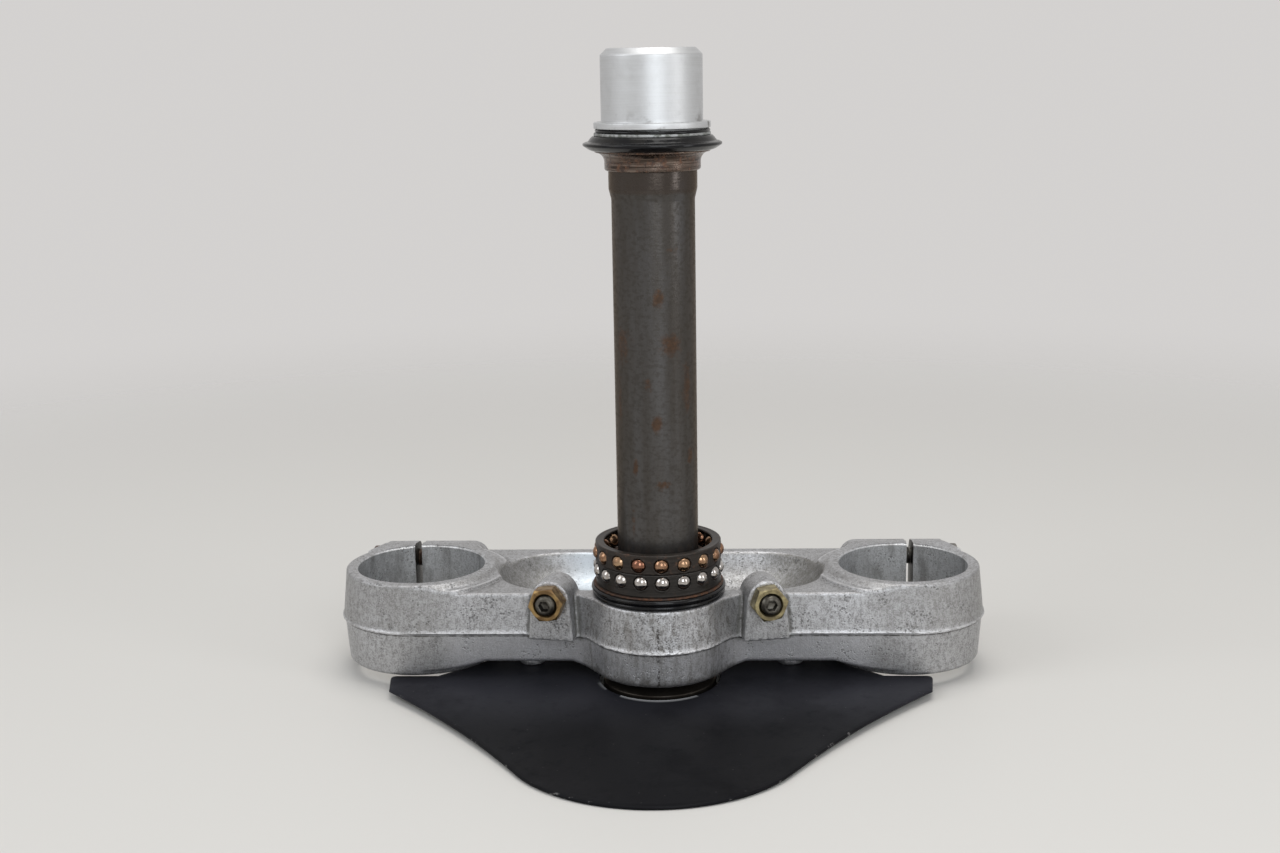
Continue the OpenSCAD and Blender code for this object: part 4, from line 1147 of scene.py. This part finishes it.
cast_grain, enter, leave = new_group("cast_grain", [("Vector", "Vector", None)],
                                     [("Speckle", "Float"), ("Pits", "Float"), ("Height", "Float")])
here = enter["Vector"]
fine = noise(cast_grain, here, 1500.0, 4.0, 0.75)
coarse = noise(cast_grain, here, 520.0, 3.0, 0.6)
streak = noise(cast_grain, scaled(cast_grain, here, (1.0, 1.0, 0.3)), 800.0, 3.0, 0.6)
speckle = sums(cast_grain, sums(cast_grain, fine, 0.55), sums(cast_grain, coarse, 0.22), "ADD")
speckle = sums(cast_grain, speckle, sums(cast_grain, streak, 0.23), "ADD")
wander = put(cast_grain, "TexNoise", {"Vector": here, "Scale": 900.0, "Detail": 2.0}).outputs["Color"]
bent = put(cast_grain, "VectorMath", {0: wander, 1: (0.0009, 0.0009, 0.0009), 2: here},
           operation="MULTIPLY_ADD").outputs[0]
cells = put(cast_grain, "TexVoronoi", {"Vector": bent, "Scale": 820.0}).outputs["Distance"]
pit_size = ramp(cast_grain, noise(cast_grain, here, 110.0, 4.0, 0.7), 0.44, 0.68, 0.04, 0.42)
pits = ramp(cast_grain, sums(cast_grain, cells, pit_size, "SUBTRACT"), 0.05, -0.06)
height = sums(cast_grain, speckle, sums(cast_grain, pits, 0.7), "SUBTRACT")
feed(cast_grain, leave, {"Speckle": speckle, "Pits": pits, "Height": height})

rust, enter, leave = new_group("rust", [
    ("Vector", "Vector", None), ("Amount", "Float", 0.5), ("Scale", "Float", 260.0)],
    [("Color", "Color"), ("Mask", "Float")])
flakes = noise(rust, enter["Vector"], enter["Scale"], 5.0, 0.7)
level = sums(rust, sums(rust, flakes, 0.5, "SUBTRACT"), enter["Amount"], "ADD")
shade = ramp(rust, noise(rust, enter["Vector"], 700.0, 3.0), 0.38, 0.66)
feed(rust, leave, {"Mask": ramp(rust, level, 0.28, 0.5),
                   "Color": tint(rust, shade, (0.040, 0.020, 0.013), (0.125, 0.055, 0.026))})

lathe_marks, enter, leave = new_group("lathe_marks", [("Vector", "Vector", None), ("Fineness", "Float", 2600.0)],
                                      [("Lines", "Float")])
flat = scaled(lathe_marks, enter["Vector"], (0.02, 0.02, 1.0))
feed(lathe_marks, leave, {"Lines": noise(lathe_marks, flat, enter["Fineness"], 2.0)})

dust, enter, leave = new_group("dust", [
    ("Vector", "Vector", None), ("Up", "Float", 1.0), ("Amount", "Float", 0.5), ("Film", "Float", 0.2)],
    [("Mask", "Float")])
specks = put(dust, "TexVoronoi", {"Vector": enter["Vector"], "Scale": 170.0}).outputs["Distance"]
film = ramp(dust, noise(dust, enter["Vector"], 60.0, 6.0, 0.7), 0.42, 0.75, 0.0, enter["Film"])
settled = sums(dust, ramp(dust, specks, 0.075, 0.02, 0.0, 0.9), film, "MAXIMUM")
lying = ramp(dust, enter["Up"], 0.2, 0.9)
feed(dust, leave, {"Mask": sums(dust, sums(dust, settled, lying), enter["Amount"])})
print("shared effects:", sorted(group.name for group in bpy.data.node_groups))

# %% [markdown]
# Each finish is one material: it starts from a plain metal, rubber or paint, then lays blotches, wear
# and dirt over it, with painted light and shade in places, and drives the roughness and a small bump
# with the same patterns.

# %% Starting a material


def start_finish(name, metallic, roughness):
    """A new material, its tree, its shader and the object's own coordinates."""
    material = bpy.data.materials.new(name)
    material.use_nodes = True
    tree = material.node_tree
    shader = tree.nodes["Principled BSDF"]
    feed(tree, shader, {"Metallic": metallic, "Roughness": roughness})
    return material, tree, shader, put(tree, "TexCoord").outputs["Object"]


def add_bump(tree, shader, height, depth, strength=0.5):
    """Feeds the shader's normal from a height in metres."""
    bump = put(tree, "Bump", {"Height": height, "Distance": depth, "Strength": strength})
    feed(tree, shader, {"Normal": bump.outputs[0]})


def number(tree, name):
    """A number that the mesh keeps under a name."""
    return put(tree, "Attribute", attribute_name=name).outputs["Fac"]


def upward(tree):
    """How far a face looks up."""
    return split(tree, put(tree, "NewGeometry").outputs["Normal"])["Z"]


def grouped(tree, group, **feeds):
    """A shared effect placed in a material."""
    return put(tree, "Group", feeds, node_tree=group).outputs


def blotch(tree, vector, scale, detail, low, high):
    """A mask of soft blotches: fewer of them for higher levels."""
    return grouped(tree, blotches, Vector=vector, Scale=scale, Detail=detail, Low=low, High=high)["Mask"]


def wear(piece, material):
    """Gives a piece its only material."""
    piece.data.materials.clear()
    piece.data.materials.append(material)


# %% [markdown]
# The yoke is weathered cast aluminium. Its grain could be modelled, but thousands of tiny pits are
# cheaper as a pattern. The layers go from the grain and the stains to oily dirt with painted shade in
# the trough, dirt on the rings and stains on the boss, which also darkens towards its foot. Last come a
# painted bluish reflection on the trough's left back wall and painted light on the walls under the
# parting line.

# %% Cast aluminium: grain, stains, oil and painted light
cast, tree, shader, here = start_finish("weathered_casting", 0.6, 0.5)
across, along, height = split(tree, here)
grain = grouped(tree, cast_grain, Vector=here)
speckle = grain["Speckle"]
broken = noise(tree, here, 380.0, 5.0, 0.7)
ragged = sums(tree, broken, 0.5, "SUBTRACT")
hub, ring, seam = number(tree, "hub"), number(tree, "ring"), number(tree, "seam")
lower_half = ramp(tree, height, (PARTING + 0.3) * MM, (PARTING - 0.5) * MM)
clouds = blotch(tree, here, 45.0, 6.0, 0.32, 0.70)
stain = blotch(tree, here, 90.0, 7.0, 0.46, 0.80)
# oily dirt and painted shade in the trough, heavier on the right side
trough_dirt_and_shade = sums(tree, ramp(tree, broken, 0.3, 0.7, 0.62, 0.30), ramp(tree, across, -0.02, 0.02, 0.75, 1.15))
# painted reflection: a bluish light band on the trough's left back wall
trough_wall_reflection = sums(tree, number(tree, "wall"), ramp(tree, across, 0.0, -0.03))
# painted light: walls under the parting line, away from lugs and rings, are lightened
lower_wall_light = sums(tree, sums(tree, lower_half, seam), sums(tree, 1.0, ring, "SUBTRACT"))
upper_ring = sums(tree, ring, sums(tree, 1.0, lower_half, "SUBTRACT"))
streaky = blotch(tree, scaled(tree, here, (1.0, 1.0, 0.3)), 330.0, 6.0, 0.44, 0.68)
# the boss darkens towards its foot along a ragged line
low_rim = sums(tree, hub, ramp(tree, sums(tree, height, sums(tree, ragged, 0.012), "ADD"), 0.0150, 0.0105))
skin_colour = layered(
    tree, tint(tree, clouds, (0.455, 0.455, 0.462), (0.545, 0.55, 0.568)),
    (ramp(tree, speckle, 0.40, 0.57, 0.66, 0.0), (0.155, 0.148, 0.140)),
    (sums(tree, stain, 0.35), (0.23, 0.215, 0.20)),
    # painted shade and oily dirt darken the trough
    (sums(tree, number(tree, "trough"), trough_dirt_and_shade), (0.15, 0.143, 0.118)),
    # painted reflection on the trough's left back wall
    (sums(tree, trough_wall_reflection, 0.75), (0.66, 0.73, 0.79)),
    # painted light on the walls under the parting line
    (sums(tree, lower_wall_light, 0.52), (0.66, 0.66, 0.685)),
    (sums(tree, upper_ring, ramp(tree, broken, 0.3, 0.7, 0.45, 0.15)), (0.20, 0.193, 0.18)),
    (sums(tree, hub, sums(tree, streaky, 0.46)), (0.150, 0.136, 0.115)),
    (sums(tree, hub, ramp(tree, speckle, 0.42, 0.50, 0.30, 0.0)), (0.10, 0.092, 0.080)),
    # darker towards the boss's foot
    (sums(tree, low_rim, 0.60), (0.085, 0.078, 0.065)))

# %% [markdown]
# The bores and slits were machined after casting. The bores' faces have a colour of their own, and
# the slits' faces are painted near black as shade. Pits, a row of darker ones down the middle of the
# boss, dirt with painted shade in the corners and bare metal on the edges go over both. A painted
# highlight runs along each ring's ridge and a painted shade in the step beyond it. The mould's parting
# line shows last: a painted highlight on its crest with a painted shadow under it.

# %% Cast aluminium: machined faces, edges and the parting line
smears = blotch(tree, scaled(tree, here, (1.0, 1.0, 0.35)), 110.0, 6.0, 0.46, 0.68)
as_turned = layered(tree, (0.60, 0.61, 0.62), (sums(tree, smears, 0.8), (0.25, 0.245, 0.24)),
                    (ramp(tree, speckle, 0.42, 0.55, 0.45, 0.0), (0.16, 0.155, 0.15)))
# painted shade: the slit's faces are coloured near black
in_slit = tint(tree, smears, (0.075, 0.070, 0.064), (0.028, 0.023, 0.018))
from_middle = sums(tree, sums(tree, across, 0.0004, "SUBTRACT"), 0, "ABSOLUTE")
pit_row = sums(tree, ramp(tree, from_middle, 0.0009, 0.0003), ramp(tree, along, -0.020, -0.024))
pit_row = sums(tree, pit_row, ramp(tree, speckle, 0.50, 0.45))
# dirt and painted shade in corners and hollows, from the cavity numbers
corner_dirt_and_shade = ramp(tree, sums(tree, number(tree, "cavity"), ragged, "ADD"), 0.12, 0.55)
bright = ramp(tree, sums(tree, number(tree, "edge"), sums(tree, ragged, 0.8), "ADD"), 0.25, 0.60)
# crest marks a painted highlight on the parting line, under a painted shadow just below it
crest = sums(tree, ramp(tree, height, (PARTING + 0.15) * MM, (PARTING + 0.40) * MM),
             ramp(tree, height, (PARTING + 1.5) * MM, (PARTING + 0.8) * MM))
under = sums(tree, ramp(tree, height, (PARTING - 1.15) * MM, (PARTING - 0.55) * MM),
             ramp(tree, height, (PARTING + 0.10) * MM, (PARTING - 0.05) * MM))
skin_colour = layered(
    tree, skin_colour,
    (number(tree, "machined"), as_turned),
    # painted shade in the slits
    (number(tree, "slit"), in_slit),
    (sums(tree, pit_row, 0.8), (0.05, 0.046, 0.043)),
    (sums(tree, grain["Pits"], 0.6), (0.085, 0.080, 0.074)),
    # dirt and painted shade in the corners
    (sums(tree, corner_dirt_and_shade, 0.75), (0.10, 0.096, 0.082)),
    (sums(tree, bright, 0.8), (0.66, 0.66, 0.665)),
    # painted shade in the small step just beyond each ring's ridge
    (sums(tree, number(tree, "gutter"), ramp(tree, broken, 0.40, 0.56, 0.75, 0.10)), (0.10, 0.096, 0.09)),
    # painted highlight along the ridge round each ring
    (sums(tree, number(tree, "ridge"), ramp(tree, broken, 0.36, 0.6, 0.35, 0.9)), (0.70, 0.70, 0.71)),
    # painted highlight on the parting line's crest
    (sums(tree, sums(tree, crest, seam), ramp(tree, broken, 0.38, 0.58, 0.15, 0.6)), (0.68, 0.68, 0.69)),
    # painted shadow under the parting line's bead
    (sums(tree, sums(tree, under, seam), ramp(tree, broken, 0.36, 0.6, 0.95, 0.35)), (0.045, 0.042, 0.038)))
rough = sums(tree, ramp(tree, speckle, 0.3, 0.7, 0.50, 0.36), sums(tree, bright, 0.10), "SUBTRACT")
# pits, dirt and painted shade make the metal less metallic
pits_dirt_and_shade = sums(tree, sums(tree, corner_dirt_and_shade, grain["Pits"], "MAXIMUM"), 0.5)
feed(tree, shader, {"Base Color": skin_colour, "Roughness": sums(tree, rough, sums(tree, corner_dirt_and_shade, 0.2), "ADD"),
                    "Metallic": sums(tree, 0.82, pits_dirt_and_shade, "SUBTRACT")})
add_bump(tree, shader, grain["Height"], 0.0004, 0.6)
wear(yoke, cast)
print("casting's nodes:", len(tree.nodes))

# %% [markdown]
# The stem is bare steel that has gone brown and dark, with long streaks, rust round the spots kept on
# its mesh, and a near-black foot that is partly grease and partly painted shade under the boss. Rust
# is rougher and no mirror, so it also lowers the metallic value. A frayed mask looks more like rust
# than a round spot does.

# %% Dark rusty steel of the stem
tube, tree, shader, here = start_finish("rusted_tube", 0.75, 0.42)
feed(tree, shader, {"Specular Tint": (0.58, 0.51, 0.44, 1)})
height = split(tree, here)["Z"]
rust_spots = number(tree, "rust")
streaks = blotch(tree, scaled(tree, here, (1.0, 1.0, 0.12)), 95.0, 5.0, 0.35, 0.7)
mottle = blotch(tree, scaled(tree, here, (0.7, 0.7, 1.0)), 620.0, 6.0, 0.44, 0.64)
spots = grouped(tree, rust, Vector=here, Amount=sums(tree, rust_spots, 1.25), Scale=420.0)
seat = ramp(tree, height, 0.2035, 0.2048)
# grease and painted shade: the foot and collar under the boss go near black
greasy_shaded_foot = ramp(tree, height, 0.0102, 0.0090)
frayed = sums(tree, noise(tree, here, 380.0, 6.0, 0.75), 0.5, "SUBTRACT")
frayed = sums(tree, rust_spots, sums(tree, frayed, 2.2), "ADD")
soft_rust = sums(tree, ramp(tree, frayed, 0.15, 0.75), ramp(tree, rust_spots, 0.0, 0.15, 0.0, 0.9))
steel = layered(
    tree, tint(tree, streaks, (0.066, 0.060, 0.054), (0.094, 0.091, 0.090)),
    (sums(tree, mottle, 0.5), (0.043, 0.038, 0.032)),
    (sums(tree, seat, 0.6), (0.060, 0.046, 0.038)),
    (soft_rust, (0.055, 0.032, 0.019)),
    (sums(tree, spots["Mask"], 0.22), spots["Color"]),
    # grease and painted shade on the foot and collar
    (sums(tree, greasy_shaded_foot, 0.85), (0.016, 0.013, 0.010)))
rough = sums(tree, sums(tree, 0.29, sums(tree, seat, 0.11), "SUBTRACT"), sums(tree, soft_rust, 0.2), "ADD")
feed(tree, shader, {"Base Color": steel, "Roughness": sums(tree, sums(tree, mottle, 0.12), rough, "ADD"),
                    "Metallic": sums(tree, 0.75, sums(tree, soft_rust, 0.45), "SUBTRACT")})
rings = grouped(tree, lathe_marks, Vector=here, Fineness=1500.0)["Lines"]
add_bump(tree, shader, sums(tree, sums(tree, rings, 0.5), sums(tree, mottle, 0.3), "ADD"), 0.00010, 0.5)
wear(stem, tube)
print("stem's nodes:", len(tree.nodes))

# %% [markdown]
# The seals and the ring in the nut's groove are black rubber with a thin film of old grease, which
# makes some places shinier than others. A little dust has settled on what faces up.

# %% Greasy black rubber
rubber, tree, shader, here = start_finish("greasy_rubber", 0.0, 0.3)
film = blotch(tree, here, 160.0, 5.0, 0.45, 0.7)
settled = grouped(tree, dust, Vector=here, Up=upward(tree), Amount=0.3, Film=0.04)["Mask"]
black = layered(tree, (0.005, 0.005, 0.006), (film, (0.010, 0.009, 0.008)), (settled, (0.20, 0.19, 0.17)))
feed(tree, shader, {"Base Color": black, "Roughness": ramp(tree, film, 0.0, 1.0, 0.13, 0.26),
                    "Specular IOR Level": 0.24})
add_bump(tree, shader, film, 0.00008, 0.4)
for piece in (boss_seal, upper_seal, seal_ring):
    wear(piece, rubber)
    print(piece.name, "wears", rubber.name)

# %% [markdown]
# The bearings' rings, cages and washer are all steel that was turned or pressed and has rusted by
# different amounts under its grease. One function makes them all, so that they look like a family.

# %% Steels of the bearings


def bearing_steel(name, metallic, roughness, light, dark, amount, gloss_rust=0.55):
    """Steel with lathe marks and rust over a share of it that the amount sets."""
    material, tree, shader, here = start_finish(name, metallic, roughness)
    marks = grouped(tree, lathe_marks, Vector=here, Fineness=2200.0)["Lines"]
    spots = grouped(tree, rust, Vector=here, Amount=amount, Scale=330.0)
    spot = spots["Mask"]
    colour = layered(tree, dark, (ramp(tree, marks, 0.35, 0.65), light), (spot, spots["Color"]))
    feed(tree, shader, {"Base Color": colour, "Roughness": ramp(tree, spot, 0.0, 1.0, roughness, gloss_rust),
                        "Metallic": ramp(tree, spot, 0.0, 1.0, metallic, 0.25)})
    add_bump(tree, shader, sums(tree, marks, spot, "ADD"), 0.00008, 0.5)
    return material


for piece, slot, *steel in (
        (seal_washer, "rusty_washer", "rusty_washer_steel", 0.7, 0.45,
         (0.10, 0.07, 0.055), (0.05, 0.035, 0.03), 0.42, 0.7),
        (lower_cone, "cone_steel", "greasy_cone_steel", 0.9, 0.3, (0.30, 0.25, 0.22), (0.16, 0.12, 0.10), 0.38),
        (upper_cone, "cone_steel", "worn_cone_steel", 0.95, 0.22,
         (0.20, 0.155, 0.128), (0.026, 0.018, 0.013), 0.36, 0.28),
        (lower_cage, "cage_steel", "oiled_cage_steel", 0.6, 0.38,
         (0.030, 0.026, 0.023), (0.018, 0.016, 0.014), 0.20),
        (upper_cage, "cage_steel", "browned_cage_steel", 0.6, 0.40,
         (0.036, 0.029, 0.024), (0.022, 0.017, 0.014), 0.26)):
    wear(piece, bearing_steel(*steel))
    print(piece.name, "wears", steel[0])

# %% [markdown]
# The balls are polished steel. Those of the lower row are bright with a smear of grease, and those of
# the upper row have browned. Each ball's own shade, kept on the mesh, sets how far it has turned.

# %% Balls


def ball_steel(name, roughness, pattern, shades, grease, share, smooth, dull):
    """Polished steel between two shades, with smears of grease that are duller."""
    material, tree, shader, here = start_finish(name, 1.0, roughness)
    smear = blotch(tree, here, *pattern)
    colour = layered(tree, shades[0], (number(tree, "shade"), shades[1]), (sums(tree, smear, share), grease))
    feed(tree, shader, {"Base Color": colour, "Roughness": ramp(tree, smear, 0.0, 1.0, smooth, dull)})
    return material


bright_steel = ball_steel("bright_ball_steel", 0.12, (380.0, 3.0, 0.45, 0.7),
                          ((0.37, 0.345, 0.325), (0.54, 0.52, 0.50)), (0.30, 0.24, 0.19), 0.55, 0.10, 0.30)
brown_steel = ball_steel("browned_ball_steel", 0.2, (420.0, 4.0, 0.42, 0.66),
                         ((0.23, 0.10, 0.065), (0.42, 0.28, 0.17)), (0.13, 0.06, 0.035), 0.6, 0.16, 0.42)
wear(lower_row, bright_steel)
wear(upper_row, brown_steel)
print("ball steels:", bright_steel.name, brown_steel.name)

# %% [markdown]
# The nut is turned aluminium, bright on top and dirtier lower down, with a crust of oxide on the edge
# that stood on the seal. The turning marks are too fine for a bump that shows, so they mostly change
# the colour and the gloss from line to line.

# %% Turned aluminium
turned, tree, shader, here = start_finish("turned_nut_aluminium", 1.0, 0.4)
height = split(tree, here)["Z"]
marks = grouped(tree, lathe_marks, Vector=here, Fineness=3200.0)["Lines"]
smudge = blotch(tree, here, 140.0, 6.0, 0.50, 0.72)
low_part = ramp(tree, height, NUT_Z * MM + 0.010, NUT_Z * MM + 0.004)
dirt = sums(tree, smudge, sums(tree, sums(tree, low_part, 0.9), 0.10, "ADD"))
crust = ramp(tree, blotch(tree, here, 300.0, 5.0, 0.40, 0.6), 0.0, 1.0, 0.45, 1.0)
oxide = sums(tree, crust, ramp(tree, height, NUT_Z * MM + 0.0032, NUT_Z * MM + 0.0018))
metal = layered(
    tree, (0.56, 0.57, 0.575), (ramp(tree, marks, 0.3, 0.7), (0.60, 0.61, 0.62)),
    (dirt, (0.16, 0.15, 0.14)), (sums(tree, oxide, 0.9), (0.10, 0.105, 0.085)))
feed(tree, shader, {"Base Color": metal, "Roughness": ramp(tree, marks, 0.3, 0.7, 0.46, 0.52),
                    "Metallic": sums(tree, 1.0, sums(tree, oxide, 0.7), "SUBTRACT")})
add_bump(tree, shader, marks, 0.00001, 0.3)
wear(top_nut, turned)
print("nut's nodes:", len(tree.nodes))

# %% [markdown]
# Screws and nuts are plated steel. The lock nuts' zinc is yellow where it is whole and brown where it
# is not, the other screws are dark, and the pinch bolts are rusty on the left and clean on the right.
# They differ in colours and in the amount of rust only, so one function serves them all.

# %% Fasteners


def plated(name, bright, dull, roughness, amount):
    """Plated steel with a changing tint, dull patches, some rust and painted shade in a lock nut's gap."""
    material, tree, shader, here = start_finish(name, 0.95, roughness)
    tone = blotch(tree, here, 240.0, 4.0, 0.35, 0.65)
    spots = grouped(tree, rust, Vector=here, Amount=amount, Scale=420.0)
    colour = layered(tree, bright, (tone, dull), (sums(tree, spots["Mask"], 0.85), spots["Color"]),
                     # painted shade: near black in a lock nut's gap round its screw
                     (sums(tree, number(tree, "gap"), 0.9), (0.012, 0.010, 0.008)))
    feed(tree, shader, {"Base Color": colour, "Roughness": ramp(tree, tone, 0.0, 1.0, roughness, roughness + 0.18),
                        "Metallic": ramp(tree, spots["Mask"], 0.0, 1.0, 0.95, 0.3)})
    add_bump(tree, shader, tone, 0.00006, 0.4)
    return material


wear(lock_nuts["left"], plated("browned_zinc", (0.38, 0.255, 0.11), (0.17, 0.105, 0.05), 0.3, 0.16))
wear(lock_nuts["right"], plated("yellow_zinc_plate", (0.42, 0.36, 0.20), (0.20, 0.165, 0.095), 0.3, 0.10))
dark_steel = plated("dark_screw_steel", (0.13, 0.122, 0.105), (0.05, 0.045, 0.038), 0.34, 0.16)
for piece in (*stop_screws.values(), *plate_screws.values()):
    wear(piece, dark_steel)
bolt_steels = {"left": plated("rusty_bolt_steel", (0.24, 0.19, 0.15), (0.12, 0.08, 0.06), 0.42, 0.42),
               "right": plated("bright_bolt_steel", (0.30, 0.29, 0.27), (0.17, 0.16, 0.145), 0.30, 0.14)}
for (name, place), piece in pinch_bolts.items():
    wear(piece, bolt_steels[name])
print("fasteners dressed:", len(lock_nuts) + len(stop_screws) + len(plate_screws) + len(pinch_bolts))

# %% [markdown]
# The plate is painted satin black. Near the arms it carries a painted grey reflection of the casting,
# dust lies on it, the rim's paint is scuffed and the front of the hole's lip has a painted highlight.
# A nearly black colour needs little shine to look like paint and not like glass, so the specular
# level is low.

# %% Satin black plate
black, tree, shader, here = start_finish("satin_black_paint", 0.0, 0.4)
clouds = blotch(tree, here, 24.0, 6.0, 0.45, 0.66)
scuff = blotch(tree, here, 210.0, 5.0, 0.52, 0.70)
settled = grouped(tree, dust, Vector=here, Up=upward(tree), Amount=0.5, Film=0.02)["Mask"]
# painted reflection: the casting's grey reflection on the plate near the arms
casting_reflection = ramp(tree, split(tree, here)["Y"], -0.060, -0.010)
rim = ramp(tree, sums(tree, number(tree, "rim"), sums(tree, scuff, 0.5), "ADD"), 1.25, 1.5)
paint = layered(
    tree, (0.0080, 0.0080, 0.0092), (clouds, (0.0055, 0.0055, 0.0066)),
    # painted reflection of the casting
    (sums(tree, casting_reflection, ramp(tree, clouds, 0.0, 1.0, 0.9, 0.6)), (0.028, 0.028, 0.034)),
    (sums(tree, settled, 0.6), (0.16, 0.155, 0.15)),
    (sums(tree, rim, 0.7), (0.16, 0.155, 0.15)),
    # painted highlight on the front of the hole's lip
    (sums(tree, number(tree, "lip"), 0.9), (0.50, 0.50, 0.50)))
rough = sums(tree, ramp(tree, clouds, 0.0, 1.0, 0.36, 0.44), sums(tree, scuff, 0.08), "ADD")
feed(tree, shader, {"Base Color": paint, "Roughness": rough, "Specular IOR Level": 0.05})
add_bump(tree, shader, noise(tree, here, 900.0, 2.0), 0.00006, 0.3)
wear(plate, black)
print("materials:", len(bpy.data.materials))
